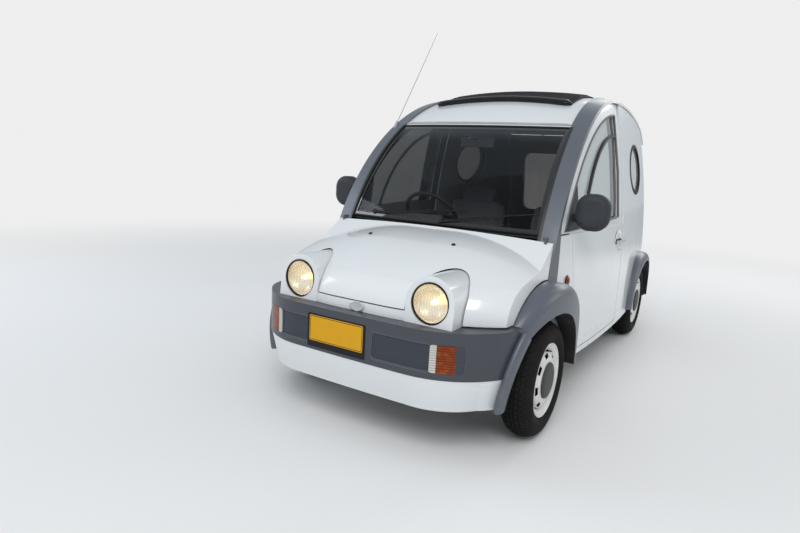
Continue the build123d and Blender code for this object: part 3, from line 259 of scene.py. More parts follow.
def enamel(name, lining=None, lined=None, dark=None, dark_tone=SOOT):
    """White body enamel: soft clouding, orange peel, and road dust low down; a lining inside."""
    coat = Coat(name)
    cloud = coat.noise(1.6, 3.0)
    dust = coat.z.rise(0.4, 0.2) * (cloud * 0.5 + 0.3)
    colour = coat.mix(cloud, (0.735, 0.76, 0.775), (0.70, 0.725, 0.74))
    colour = coat.mix(dust * 0.16, colour, (0.4, 0.37, 0.33))
    rough = 0.2 + cloud * 0.1 + dust * 0.2
    clear = 0.8 - dust * 0.4
    if lining:
        inward = lined(coat)
        grain = coat.noise(700.0, 2.0)
        colour = coat.mix(inward, colour, coat.mix(grain, lining, tuple(0.8 * c for c in lining)))
        rough = rough + inward * 0.45
        clear = clear * (1 - inward)
    if dark:
        rubber = dark(coat)
        colour = coat.mix(rubber, colour, dark_tone)
        rough = rough + rubber * 0.3
        clear = clear * (1 - rubber)
    peel = coat.noise(240.0, 1.0)
    relief = coat.relief(peel, 0.0004, 0.12)
    return coat.finish(colour, roughness=rough, coat_weight=clear, coat_roughness=0.06, normal=relief)


def inner_side(coat):
    """The inner face of a side or a door, and the ledge along its belt."""
    across, _, up = coat.facing()
    ledge = up.rise(0.5, 0.7) * coat.inset().rise(0.014, 0.018) * coat.z.rise(1.02, 1.0)
    return (across * coat.x.sign()).rise(-0.35, -0.6).most(ledge)


def inner_tail(coat):
    return coat.facing()[1].rise(-0.3, -0.55)


def under_side(coat):
    return coat.facing()[2].rise(-0.25, -0.5)


def grey_skin(name, pales_rearward=False, arch_shade=False):
    """Blue-grey moulded trim; an arch has near-black painted shade inside, a band is black by the glass and
    pales rearward.
    """
    coat = Coat(name)
    cloud = coat.noise(3.1, 4.0)
    fine = coat.noise(900.0, 2.0)
    dust = coat.z.rise(0.6, 0.25) * coat.noise(30.0, 5.0).rise(0.4, 0.75)
    colour = coat.mix(cloud, (0.084, 0.097, 0.121), (0.103, 0.116, 0.14))
    colour = coat.mix(dust * 0.15, colour, (0.26, 0.24, 0.21))
    rough = 0.34 + cloud * 0.14 + dust * 0.25
    if arch_shade:
        middle, half = (REAR_AXLE + FRONT_AXLE) / 2, (REAR_AXLE - FRONT_AXLE) / 2
        shift = coat.y - middle
        along, up = shift - shift.sign() * half, coat.z - AXLE_Z
        normal = coat.facing()
        # Painted shade: faces that turn in towards the wheel are coloured near black.
        inside = (normal[1] * along + normal[2] * up).rise(-0.12, -0.2)
        colour = coat.mix(inside, colour, (0.012, 0.012, 0.013))
    if pales_rearward:
        # The band pales towards the rear, from grey to white.
        colour = coat.mix(coat.y.rise(-0.35, 0.45), colour, (0.43, 0.44, 0.445))
        colour = coat.mix(coat.y.rise(0.5, 1.15), colour, (0.72, 0.745, 0.755))
        edge = coat.inset().rise(0.07, 0.0715) * coat.z.rise(1.532, 1.527)
        colour = coat.mix(edge, colour, SOOT)
    relief = coat.relief(fine, 0.0002, 0.25)
    return coat.finish(colour, roughness=rough, coat_weight=0.2, coat_roughness=0.15, normal=relief)


def bumper_skin():
    """The bumper, with painted shade in the pockets beside the plate and a painted highlight round each."""
    coat = Coat("bumper_blue_grey")
    cloud = coat.noise(3.1, 4.0)
    fine = coat.noise(900.0, 2.0)
    middle, half = (POCKET[1] + POCKET[0]) / 2, (POCKET[1] - POCKET[0]) / 2
    off = coat.off_rounded(abs(coat.x) - middle, coat.z - LIGHT_Z, half, POCKET_HIGH, POCKET_CORNER)
    front = coat.y.rise(-1.55, -1.6)
    # Painted shade: the pockets are coloured darker, and they are also rougher.
    shaded_pocket = off.rise(0.0015, -0.0015) * front
    # Painted highlight: a pale line round the rim of each of the pockets.
    line = off.between(-0.004, 0.001, 0.0012) * front
    colour = coat.mix(cloud, (0.044, 0.049, 0.062), (0.055, 0.06, 0.074))
    colour = coat.mix(shaded_pocket, colour, coat.mix(fine, (0.027, 0.034, 0.047), (0.034, 0.041, 0.055)))
    colour = coat.mix(line * 0.8, colour, (0.13, 0.14, 0.16))
    chips = coat.noise(70.0, 5.0).rise(0.72, 0.78) * coat.z.rise(0.5, 0.4)
    colour = coat.mix(chips * 0.5, colour, (0.3, 0.31, 0.33))
    rough = 0.3 + cloud * 0.14 + shaded_pocket * 0.2
    return coat.finish(
        colour,
        roughness=rough,
        coat_weight=0.15,
        coat_roughness=0.1,
        specular_ior_level=0.4,
        normal=coat.relief(fine, 0.0002, 0.25),
    )


def moulded(name, colour, rough, grain=800.0, deep=0.0003):
    """Plain moulded plastic or rubber with a fine leather-like grain."""
    coat = Coat(name)
    cells = coat.cells(grain)
    cloud = coat.noise(6.0, 4.0)
    worn = tuple(c * 1.4 + 0.002 for c in colour)
    return coat.finish(
        coat.mix(cloud.rise(0.4, 0.8) * 0.6, colour, worn),
        roughness=rough + cloud * 0.15,
        specular_ior_level=0.25,
        normal=coat.relief(cells, deep, 0.5),
    )


def metal(name, colour, rough, rust=0.0):
    """Bare or plated metal, with light streaks and, where asked, rust."""
    coat = Coat(name)
    streak = coat.noise(60.0, 4.0)
    blot = coat.noise(14.0, 6.0).rise(0.5, 0.7)
    tone = coat.mix(streak, colour, tuple(c * 0.82 for c in colour))
    tone = coat.mix(blot * rust, tone, (0.16, 0.065, 0.03))
    return coat.finish(
        tone,
        metallic=1 - blot * rust,
        roughness=rough + streak * 0.12 + blot * rust * 0.4,
        normal=coat.relief(streak, 0.0003, 0.25),
    )


def glazing(name, tint, body, shade=None, bright=None, shine=0.4):
    """Window glass: clearest face on, shiny at a slant; bright is a painted sky reflection on its outer
    face.
    """
    coat = Coat(name)
    slant = coat.node("ShaderNodeLayerWeight", {}, {"Blend": 0.35}, "Fresnel")
    smear = coat.noise(5.0, 5.0)
    colour = coat.mix(smear, tint, tuple(t * 1.1 for t in tint))
    solid = slant * shine + body
    if bright:
        # Painted reflection: outer faces are paler and more opaque, for the sky seen in them.
        outward = (coat.facing()[0] * coat.x.sign()).rise(0.1, 0.3)
        colour = coat.mix(outward, colour, coat.mix(smear, bright, tuple(b * 0.92 for b in bright)))
        solid = solid + outward * (0.78 - body)
    rough = 0.02 + smear.rise(0.55, 0.85) * 0.05
    if shade:
        for cover, cover_colour, strong in shade(coat):
            colour = coat.mix(cover, colour, cover_colour)
            solid = solid.most(cover * strong)
    solid = solid.least(1.0)
    return coat.finish(colour, roughness=rough, alpha=solid, coat_weight=1.0, coat_roughness=0.02)


def screen_shade(coat):
    """A black printed border and a blue band along the top of the windscreen."""
    foot, top = (-0.9, 0.96), (-0.45, 1.52)
    edge = side_x(*foot, -SCREEN_INSET)
    fall = (edge - side_x(*top, -SCREEN_INSET)) / (top[1] - foot[1])
    limit = edge - (coat.z - foot[1]) * fall
    inset = (limit - abs(coat.x)).least(coat.z - SCREEN_LOW).least(SCREEN_HIGH - coat.z)
    border = inset.rise(0.026, 0.022)
    blue = coat.z.rise(1.4, 1.53)
    return (blue, (0.02, 0.035, 0.05), 0.5), (border, (0.006, 0.006, 0.007), 1.0)


def door_shade(coat):
    """The black run channel and, behind it, a grey strip of painted shade for the door frame's rear edge, at
    the rear of the door window.
    """
    # The strip's grey is painted shade: the white door frame's rear edge as it looks in shadow.
    channel, strip = coat.y.rise(0.036, 0.039), coat.y.rise(0.149, 0.152)
    return (channel, (0.01, 0.01, 0.011), 1.0), (strip, (0.2, 0.2, 0.195), 1.0)


def door_rail(coat):
    """The rubber of the bow that divides the door window."""
    off = abs((coat.y - RAIL_MIDDLE[0]).far(coat.z - RAIL_MIDDLE[1]) - RAIL_RADIUS)
    bow = off.rise(RAIL_HALF + 0.0005, RAIL_HALF - 0.0005)
    return bow * coat.inset().rise(0.0095, 0.0105) * coat.z.rise(0.984, 0.988) * coat.y.rise(0.204, 0.202)


def bonnet_lug(coat):
    """The two lugs at the rear corners of the bonnet, in the grey of the pillars beside them."""
    wide = abs(coat.x).between(*LUG, 0.0005)
    return wide * coat.y.rise(-0.9815, -0.98) * coat.z.rise(0.92, 0.921)


def ribbed_lens(coat, colour, rib, height, clear, shine):
    """Lamp lens with its ribs in relief."""
    return coat.finish(
        colour,
        roughness=0.2 + rib * 0.1,
        coat_weight=clear,
        coat_roughness=0.05,
        specular_ior_level=shine,
        normal=coat.relief(height, 0.003, 0.5),
    )


def lens_amber():
    """Front indicator: ribbed amber, with a clear strip on its inner side and its housing's grey outside."""
    coat = Coat("indicator_amber")
    rib = coat.z.ripple(0.011)
    wide = coat.x.ripple(0.02)
    blot = coat.noise(38.0, 3.0)
    out = abs(coat.x)
    clear = out.rise(STRIP_X, STRIP_X - 0.001)
    colour = coat.mix(rib, (0.26, 0.042, 0.003), (0.12, 0.014, 0.001))
    colour = coat.mix(blot.rise(0.45, 0.75) * 0.6, colour, (0.4, 0.11, 0.012))
    colour = coat.mix(clear, colour, coat.mix(rib, (0.62, 0.61, 0.56), (0.4, 0.39, 0.35)))
    seam = abs(out - STRIP_X).rise(0.002, 0.001)
    housing = out.rise(0.519, 0.5205) * out.rise(0.62, 0.6)
    colour = coat.mix(seam.most(housing), colour, (0.05, 0.058, 0.075))
    return ribbed_lens(coat, colour, rib, rib + wide * 0.4, 0.12, 0.2)


def lens_rear():
    """Rear lamp: red, with amber and clear parts."""
    coat = Coat("rear_lamp_red")
    rib = coat.x.ripple(0.009)
    out = abs(coat.x)
    colour = coat.mix(rib, (0.3, 0.008, 0.007), (0.15, 0.003, 0.003))
    turning = coat.mix(rib, (0.34, 0.07, 0.006), (0.2, 0.03, 0.004))
    reversing = coat.mix(rib, (0.75, 0.75, 0.72), (0.5, 0.5, 0.48))
    colour = coat.mix(out.rise(AMBER_X - 0.001, AMBER_X + 0.001), colour, turning)
    colour = coat.mix(out.rise(CLEAR_X + 0.001, CLEAR_X - 0.001), colour, reversing)
    seam = abs(out - CLEAR_X).least(abs(out - AMBER_X)).rise(0.002, 0.001)
    colour = coat.mix(seam, colour, (0.02, 0.02, 0.02))
    return ribbed_lens(coat, colour, rib, rib, 0.25, 0.35)


def plate_face():
    """Blank yellow plate with a dark border line on a black carrier."""
    coat = Coat("plate_yellow")
    off = coat.off_rounded(coat.x - PLATE[0], coat.z - PLATE[1], *PLATE_HALF, 0.008)
    face = off.rise(0.0, -0.001) * coat.y.rise(-1.7355, -1.7365)
    line = off.between(-0.0068, -0.0045, 0.0006)
    cell = coat.cells(420.0)
    yellow = coat.mix(cell, (0.72, 0.375, 0.01), (0.6, 0.3, 0.008))
    yellow = coat.mix(line, yellow, (0.012, 0.012, 0.012))
    grime = coat.noise(24.0, 5.0).rise(0.5, 0.8)
    yellow = coat.mix(grime * 0.18, yellow, (0.3, 0.2, 0.08))
    colour = coat.mix(face, (0.012, 0.012, 0.013), yellow)
    relief = coat.relief(cell, 0.0002, 0.4)
    return coat.finish(colour, roughness=0.4 + grime * 0.2, specular_ior_level=0.2, normal=relief)


def rubber_tread():
    """Tyre rubber: near black and gritty, greyed in patches."""
    coat = Coat("tyre_rubber")
    grit = coat.noise(160.0, 5.0)
    patch = coat.noise(11.0, 3.0)
    colour = coat.mix(grit, (0.008, 0.008, 0.008), (0.014, 0.0135, 0.013))
    colour = coat.mix(patch.rise(0.45, 0.8) * 0.25, colour, (0.04, 0.037, 0.033))
    relief = coat.relief(grit, 0.0006, 0.5)
    return coat.finish(colour, roughness=0.7 + patch * 0.2, specular_ior_level=0.12, normal=relief)


def wheel_enamel():
    """White wheel enamel, with brake dust towards its edge, and painted shade behind its slots."""
    coat = Coat("wheel_white")
    cloud = coat.noise(20.0, 5.0)
    middle = (REAR_AXLE + FRONT_AXLE) / 2
    along = abs(coat.y - middle) - (REAR_AXLE - FRONT_AXLE) / 2
    dust = cloud.rise(0.35, 0.75) * along.far(coat.z - AXLE_Z).rise(0.09, 0.14)
    colour = coat.mix(cloud, (0.74, 0.74, 0.72), (0.66, 0.66, 0.63))
    colour = coat.mix(dust * 0.18, colour, (0.22, 0.19, 0.16))
    # Painted shade: parts inboard of the disc, seen through its slots, are coloured near black.
    behind = (abs(coat.x) - WHEEL_X).rise(0.041, 0.038)
    colour = coat.mix(behind, colour, (0.02, 0.019, 0.018))
    relief = coat.relief(cloud, 0.0004, 0.2)
    return coat.finish(colour, roughness=0.32 + dust * 0.3, coat_weight=0.4, normal=relief)


def woven(name, first, second, scale=0.0032):
    """Woven seat cloth: warp and weft over a soft nap."""
    coat = Coat(name)
    warp = coat.x.ripple(scale)
    weft = (coat.y + coat.z).ripple(scale)
    nap = coat.noise(500.0, 3.0)
    check = coat.noise(9.0, 3.0)
    weave = warp.most(weft) * 0.7 + nap * 0.3
    colour = coat.mix(weave, first, second)
    colour = coat.mix(check.rise(0.5, 0.8) * 0.25, colour, tuple(0.6 * c for c in first))
    relief = coat.relief(weave, 0.0007, 0.6)
    return coat.finish(colour, roughness=0.86 + nap * 0.1, sheen_weight=0.25, normal=relief)


def roof_cloth():
    """Black coated canvas: a fine twill, greyed in patches."""
    coat = Coat("canvas_black")
    twill = (coat.x + coat.y).ripple(0.0024)
    cross = (coat.x - coat.y).ripple(0.0024)
    worn = coat.noise(5.0, 4.0)
    colour = coat.mix(worn.rise(0.35, 0.8), (0.009, 0.01, 0.013), (0.017, 0.018, 0.022))
    relief = coat.relief(twill.most(cross), 0.0005, 0.5)
    return coat.finish(colour, roughness=0.7 + worn * 0.2, specular_ior_level=0.15, normal=relief)


def floor_lining():
    """Load floor: ribbed rubber above, sealed underbody below."""
    coat = Coat("floor_lining")
    rib = coat.x.ripple(0.012)
    under = under_side(coat)
    blot = coat.noise(9.0, 5.0)
    colour = coat.mix(rib, (0.03, 0.03, 0.032), (0.06, 0.06, 0.062))
    colour = coat.mix(under, colour, coat.mix(blot, (0.035, 0.034, 0.033), (0.08, 0.072, 0.062)))
    relief = coat.relief(rib * (1 - under) + blot * under, 0.002, 0.4)
    return coat.finish(colour, roughness=0.75 + blot * 0.15, normal=relief)


def glow_lens():
    """Headlamp glass: clear, with upright flutes."""
    coat = Coat("headlamp_glass")
    flute = coat.x.ripple(0.0125)
    cross = coat.z.ripple(0.03)
    slant = coat.node("ShaderNodeLayerWeight", {}, {"Blend": 0.3}, "Fresnel")
    colour = coat.mix(flute, (0.92, 0.86, 0.72), (0.8, 0.7, 0.5))
    return coat.finish(
        colour,
        roughness=0.05 + flute * 0.05,
        alpha=(slant * 0.5 + flute * 0.14 + 0.26).least(1.0),
        coat_weight=1.0,
        normal=coat.relief(flute + cross * 0.3, 0.003, 0.6),
    )


def lit_bowl():
    """Silvered reflector with a painted glow: the bulb's warm light above and whiter painted highlights
    below.
    """
    coat = Coat("headlamp_silver")
    up = coat.z - LAMP[2]
    flute = coat.x.ripple(0.0125)
    # Painted light: emission makes the reflector glow, warm towards its middle and whiter below.
    warm = (abs(coat.x) - LAMP[0]).far(up).rise(0.09, 0.01)
    colour = coat.mix(flute, (0.8, 0.76, 0.66), (0.6, 0.54, 0.42))
    light = coat.mix(warm, (0.3, 0.2, 0.08), (0.95, 0.66, 0.25))
    light = coat.mix(up.rise(0.0, -0.035), light, (0.75, 0.7, 0.58))
    rough = 0.18 + flute * 0.1
    return coat.finish(colour, metallic=0.85, roughness=rough, emission_color=light, emission_strength=0.55)


def bulb_light():
    coat = Coat("headlamp_bulb")
    grain = coat.noise(200.0, 2.0)
    light = coat.mix(grain, (1.0, 0.86, 0.55), (1.0, 0.78, 0.42))
    glass = (0.9, 0.85, 0.7)
    return coat.finish(glass, roughness=0.2 + grain * 0.1, emission_color=light, emission_strength=1.6)


def mirror_silver():
    coat = Coat("mirror_silver")
    smear = coat.noise(12.0, 4.0)
    colour = coat.mix(smear, (0.8, 0.82, 0.84), (0.72, 0.74, 0.76))
    return coat.finish(colour, metallic=1.0, roughness=0.03 + smear * 0.04)


white = enamel("body_white", (0.36, 0.36, 0.34), inner_side)
white_door = enamel("door_white", (0.12, 0.125, 0.13), inner_side, door_rail)
white_tail = enamel("tailgate_white", (0.36, 0.36, 0.34), inner_tail)
white_roof = enamel("roof_white", (0.52, 0.51, 0.48), under_side)
white_bonnet = enamel("bonnet_white", (0.3, 0.31, 0.32), under_side, bonnet_lug, (0.094, 0.107, 0.131))
white_plain = enamel("nose_white")
grey = grey_skin("flare_blue_grey", arch_shade=True)
band_grey = grey_skin("band_blue_grey", pales_rearward=True)
black_plastic = moulded("black_plastic", (0.014, 0.014, 0.015), 0.42)
mirror_grey = moulded("mirror_grey_plastic", (0.033, 0.036, 0.042), 0.5, 900.0)
black_rubber = moulded("seal_rubber", (0.012, 0.012, 0.012), 0.6, 1200.0)
dash_plastic = moulded("dash_plastic", (0.05, 0.054, 0.06), 0.55, 500.0, 0.0006)
trim_plastic = moulded("seat_base_plastic", (0.03, 0.031, 0.034), 0.55)
wheel_leather = moulded("steering_wheel_grip", (0.018, 0.018, 0.019), 0.45, 650.0, 0.0006)
cap_grey = moulded("cap_grey", (0.055, 0.055, 0.056), 0.45)
gloss_black = moulded("gloss_black", (0.008, 0.008, 0.009), 0.16, 300.0, 0.0001)
chrome = metal("chrome", (0.78, 0.79, 0.8), 0.1)
badge_metal = metal("badge_satin", (0.8, 0.82, 0.84), 0.4)
cast = metal("cast_iron_grey", (0.22, 0.22, 0.22), 0.5, 0.5)
steel = metal("axle_steel", (0.2, 0.2, 0.2), 0.45, 0.45)
pipe_steel = metal("exhaust_steel", (0.3, 0.28, 0.26), 0.42, 0.6)
tank_black = moulded("chassis_black", (0.02, 0.02, 0.021), 0.5, 90.0, 0.0008)
amber = lens_amber()
red = lens_rear()
tyre_rubber = rubber_tread()
wheel_white = wheel_enamel()
seat_cloth = woven("seat_weave", (0.085, 0.09, 0.1), (0.13, 0.136, 0.148))
seat_side = woven("seat_side_cloth", (0.04, 0.042, 0.047), (0.065, 0.068, 0.074), 0.0026)
canvas_black = roof_cloth()
silver = mirror_silver()
rear_glass = glazing("rear_window_glass", (0.012, 0.015, 0.016), 0.66)
door_glass = glazing("door_window_glass", (0.045, 0.06, 0.062), 0.45, door_shade, (0.62, 0.68, 0.67))
port_glass = glazing("porthole_pane", (0.02, 0.024, 0.025), 0.5, bright=(0.6, 0.62, 0.6))
screen_glass = glazing("windscreen_glass", (0.012, 0.016, 0.02), 0.04, screen_shade, shine=0.28)
headlamp_glass = glow_lens()
headlamp_silver = lit_bowl()
headlamp_bulb = bulb_light()
seal_grey = moulded("seal_grey_rubber", (0.15, 0.15, 0.145), 0.6, 1200.0)
# The roof lip is body white; this pale grey is painted shade.
lip_shaded_white = moulded("roof_lip_shaded_white", (0.42, 0.44, 0.45), 0.4, 900.0)

DRESSES = (
    (white, ("side_left", "side_right")),
    (white_door, ("door_left", "door_right")),
    (white_tail, ("tailgate",)),
    (white_roof, ("roof_panel",)),
    (white_bonnet, ("bonnet",)),
    (white_plain, ("lamp_pods", "nose_panel", "front_valance", "inner_wings")),
    (grey, ("flares_front", "flares_rear", "rear_bumper")),
    (bumper_skin(), ("front_bumper",)),
    (band_grey, ("pillar_bands",)),
    (black_plastic, ("wipers",)),
    (mirror_grey, ("mirror_left", "mirror_right")),
    (black_rubber, ("porthole_rims",)),
    (rear_glass, ("tailgate_glass",)),
    (door_glass, ("door_glass_left", "door_glass_right")),
    (port_glass, ("porthole_glass",)),
    (screen_glass, ("windscreen",)),
    (amber, ("front_indicators",)),
    (red, ("tail_lamps",)),
    (plate_face(), ("number_plate",)),
    (chrome, ("handle_left", "handle_right", "antenna")),
    (dash_plastic, ("dashboard", "inner_mirror")),
    (wheel_leather, ("steering_wheel",)),
    (floor_lining(), ("floor_pan",)),
    (tank_black, ("firewall", "fuel_tank")),
    (cast, ("engine_block",)),
    (steel, ("knuckle_left", "knuckle_right", "front_suspension", "rear_axle")),
    (pipe_steel, ("exhaust",)),
    (canvas_black, ("canvas_roof",)),
    (seat_cloth, ("seats",)),
    (tyre_rubber, ("tyre_fl", "tyre_fr", "tyre_rl", "tyre_rr")),
    (wheel_white, ("rim_fl", "rim_fr", "rim_rl", "rim_rr")),
    (headlamp_glass, ("headlamps",)),
)
for material, names in DRESSES:
    for name in names:
        for slot in nodes[name].material_slots:
            slot.material = material


# Shapes

SIDES = (("left", 1), ("right", -1))
ORIGIN = (0, 0, 0)
OUTBOARD = (1, 0, 0)
AHEAD = (0, -1, 0)


def shown(name, data):
    """A new object in the scene."""
    made = bpy.data.objects.new(name, data)
    scene.collection.objects.link(made)
    return made


def mesh_of(name, shape, material):
    mesh = bpy.data.meshes.new(name)
    shape.to_mesh(mesh)
    shape.free()
    mesh.materials.append(material)
    return mesh


def piece(name, shape, material, body, crease=40):
    """A finished mesh piece that rides on one body."""
    mesh = mesh_of(name, shape, material)
    made = shown(name, mesh)
    mesh.shade_smooth()
    mesh.set_sharp_from_angle(angle=radians(crease))
    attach(made, body)
    return made


def lathe(profile, centre, axis, steps=96):
    """A line of (along, out) points turned about an axis through centre."""
    shape = bmesh.new()
    axis = Vector(axis).normalized()
    out = axis.orthogonal().normalized()
    row = [shape.verts.new(Vector(centre) + axis * along + out * far) for along, far in profile]
    edges = [shape.edges.new(pair) for pair in zip(row, row[1:])]
    bmesh.ops.spin(
        shape, geom=row + edges, cent=centre, axis=axis, angle=2 * pi, steps=steps, use_merge=True
    )
    bmesh.ops.remove_doubles(shape, verts=shape.verts, dist=1e-6)
    bmesh.ops.recalc_face_normals(shape, faces=shape.faces)
    return shape


def placed(centre, across, up):
    """The frame of a flat piece: across, up, and outwards."""
    across, up = Vector(across).normalized(), Vector(up).normalized()
    out = across.cross(up)
    return Matrix.Translation(centre) @ Matrix((across, up, out)).transposed().to_4x4()


def plate(wide, high, corner, thick, place, edge):
    """A rounded plate, its face outwards and its rim softened."""
    shape = bmesh.new()
    bmesh.ops.create_grid(shape, x_segments=1, y_segments=1, size=0.5)
    bmesh.ops.scale(shape, vec=(wide, high, 1), verts=shape.verts)
    corners = shape.verts[:]
    bmesh.ops.bevel(
        shape, geom=corners, offset=corner, segments=7, affect="VERTICES", profile=0.5, material=-1
    )
    front = bmesh.ops.extrude_face_region(shape, geom=shape.faces[:])["geom"]
    moved = [v for v in front if isinstance(v, bmesh.types.BMVert)]
    bmesh.ops.translate(shape, vec=(0, 0, thick), verts=moved)
    rim = [e for e in shape.edges if e.is_valid and all(v.co.z > thick / 2 for v in e.verts)]
    rim = [e for e in rim if len(e.link_faces) == 2 and e.calc_face_angle(0) > 0.8]
    bmesh.ops.bevel(shape, geom=rim, offset=edge, segments=3, affect="EDGES", profile=0.5, material=-1)
    bmesh.ops.transform(shape, matrix=place, verts=shape.verts)
    bmesh.ops.recalc_face_normals(shape, faces=shape.faces)
    return shape


def bar(stations, sides=20):
    """A bar of oval sections, each (centre, across, up)."""
    shape = bmesh.new()
    rings = []
    for centre, across, up in stations:
        ring = bmesh.ops.create_circle(shape, cap_ends=False, segments=sides, radius=1)["verts"]
        for v in ring:
            v.co = Vector(centre) + Vector(across) * v.co.x + Vector(up) * v.co.y
        rings.append(ring)
    edges = [[e for e in shape.edges if e.verts[0] in ring and e.verts[1] in ring] for ring in rings]
    for first, second in zip(edges, edges[1:]):
        bmesh.ops.bridge_loops(shape, edges=first + second)
    for last in (edges[0], edges[-1]):
        bmesh.ops.edgeloop_fill(shape, edges=last)
    bmesh.ops.recalc_face_normals(shape, faces=shape.faces)
    return shape


def rounded_end(t, start, least):
    """Share of a bar's full section at t, from -1 to 1, which rounds off past start at both ends."""
    return sqrt(max(1 - (max(0, abs(t) - start) / (1 - start)) ** 2, least))


def piping(name, points, radius, material, body, closed=False):
    """A round strip along points."""
    line = bpy.data.curves.new(name, "CURVE")
    line.dimensions = "3D"
    line.bevel_depth = radius
    line.bevel_resolution = 3
    line.use_fill_caps = True
    spline = line.splines.new("POLY")
    spline.points.add(len(points) - 1)
    for point, place in zip(spline.points, points):
        point.co = (*place, 1)
    spline.use_cyclic_u = closed
    line.materials.append(material)
    made = shown(name, line)
    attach(made, body)
    return made


# Windscreen seal and roof lip

SEAL_LOW, SEAL_HIGH = 0.962, 1.524
SEAL_HALF_LOW = side_x(-0.92, 0.962, -SCREEN_INSET)
SEAL_HALF_HIGH = side_x(-0.46, 1.522, -SCREEN_INSET)
LIP_Z = 1.541


def screen_edge(z):
    """Half width of the windscreen at one height."""
    x = SEAL_HALF_LOW + (SEAL_HALF_HIGH - SEAL_HALF_LOW) * (z - SEAL_LOW) / (SEAL_HIGH - SEAL_LOW)
    for _ in range(3):
        x = side_x(screen_y(x, z), z, -SCREEN_INSET)
    return x


def windscreen_seal():
    """Rubber seal, sunk into the joint round the glass."""
    heights = [SEAL_LOW + (SEAL_HIGH - SEAL_LOW) * n / 24 for n in range(1, 24)]
    line = [(SEAL_HALF_LOW * (n / 20 - 1), SEAL_LOW) for n in range(41)]
    line += [(screen_edge(z), z) for z in heights]
    line += [(SEAL_HALF_HIGH * (1 - n / 20), SEAL_HIGH) for n in range(41)]
    line += [(-screen_edge(z), z) for z in reversed(heights)]
    points = [(x, screen_y(x, z, 0.001), z) for x, z in line]
    piping("windscreen_seal", points, 0.006, black_rubber, "root", closed=True)


def roof_lip():
    """Lip of the roof over the windscreen, in a pale grey that is painted shade on body white."""
    stations = []
    for n in range(33):
        t = n / 16 - 1
        x = SEAL_HALF_HIGH * t
        end = rounded_end(t, 0.94, 0.05)
        centre = (x, screen_y(x, LIP_Z, 0.0025), LIP_Z)
        stations.append((centre, (0, 0.004 * end, 0.0026), (0, -0.006, 0.0095 * end)))
    piece("roof_lip", bar(stations), lip_shaded_white, "root")


windscreen_seal()
roof_lip()

# Front leg of each front flare, an arc about the axle: its angles, section and the lean of the side

LEG_RADIUS = 0.378
LEG_FOOT, LEG_SWEEP = -9, 56
LEG_HALF, LEG_PROUD = 0.04, 0.023
LEG_X, LEG_Z, LEG_LEAN = 0.655, 0.2, 0.165


def flare_leg(side_name, side):
    """A leg over the end of the bumper, down to the foot of the valance."""
    stations = []
    for n in range(33):
        t = n / 32
        turn = radians(LEG_FOOT + LEG_SWEEP * t)
        back, rise = cos(turn), sin(turn)
        z = AXLE_Z + LEG_RADIUS * rise
        centre = (side * (LEG_X + (z - LEG_Z) * LEG_LEAN), FRONT_AXLE - LEG_RADIUS * back, z)
        end = rounded_end(2 * t - 1, 0.93, 0.04)
        radial = (0, -LEG_HALF * back * end, LEG_HALF * rise * end)
        stations.append((centre, radial, (side * LEG_PROUD * end, 0, 0)))
    piece("flare_leg_" + side_name, bar(stations, 28), grey, "root")


for side_name, side in SIDES:
    flare_leg(side_name, side)

# Door window seals, on an arc about the middle of the windscreen arc

DOOR_ARC = 1.256
DOOR_LOW, DOOR_STEP = 0.98, 0.034
DOOR_REAR, DOOR_TOP = 0.205, 1.3


def door_seal(side_name, side):
    """Grey seal round the door window, its lower line rising to the rear."""
    arc_y, arc_z, _ = SCREEN_ARC
    front = arc_y - sqrt(DOOR_ARC**2 - (DOOR_LOW - arc_z) ** 2)
    line = []
    for n in range(33):
        y = front + (DOOR_REAR - front) * n / 32
        line.append((y, arc_z + sqrt(DOOR_ARC**2 - (y - arc_y) ** 2)))
    line += [(DOOR_REAR, DOOR_TOP), (DOOR_REAR, DOOR_LOW + DOOR_STEP)]
    for n in range(1, 16):
        line.append((DOOR_REAR + (front - DOOR_REAR) * n / 16, DOOR_LOW + DOOR_STEP * (1 - n / 16)))
    points = [(side * side_x(y, z, -0.0135), y, z) for y, z in line]
    door = "door_" + side_name
    piping("door_seal_" + side_name, points, 0.0075, seal_grey, door, closed=True)


for side_name, side in SIDES:
    door_seal(side_name, side)

# Wheels: half the tyre's outline, then the rim, disc, cap and valve, each (outboard, radius) in mm

TYRE_HALF = [
    (0, 289), (4, 289), (5, 283), (11, 282.8), (12, 288.2), (25, 285.4), (26, 279.5), (32, 278.5),
    (33, 282.8), (48, 276), (56, 271), (60.5, 266.5), (66, 259), (67, 258.2), (68, 257.6), (73, 246),
    (76.4, 236), (77.2, 229), (76.4, 221), (76.9, 219), (76.4, 217), (73, 205), (69, 196), (66, 191.5),
    (65.6, 189.5), (62, 187), (57, 183.5), (52, 176), (48.5, 166),
]
RIM_EDGE = [
    (-60, 176), (-58, 153), (-38, 141), (8, 139), (30, 141), (44, 147), (54, 156), (57, 166), (60, 172.5),
    (63.5, 177), (65, 180.5), (62.5, 182.6), (58.5, 181), (55.5, 175), (52, 167), (49, 160), (38, 151),
    (8, 144.5), (-38, 145.5), (-53, 156), (-55, 176), (-60, 176),
]
DISC = [
    (42, 142.5), (47, 141.5), (52, 140), (56, 137.5), (59, 134), (61.5, 128), (63, 122), (64, 116),
    (65, 110), (66, 103), (66.5, 97), (66, 90), (62, 82), (58, 72), (58, 33),
]
CAP = [(63, 89), (69, 88.5), (73, 86), (76, 80), (78.5, 68), (80.5, 52), (81.8, 34), (82.5, 16), (82.7, 0)]
VALVE = [(46, 4), (62, 3.6), (64, 3), (75, 3.2), (77, 0)]
VALVE_AT, VALVE_AXIS = (0, 0, 0.139), (1, 0, 0.12)

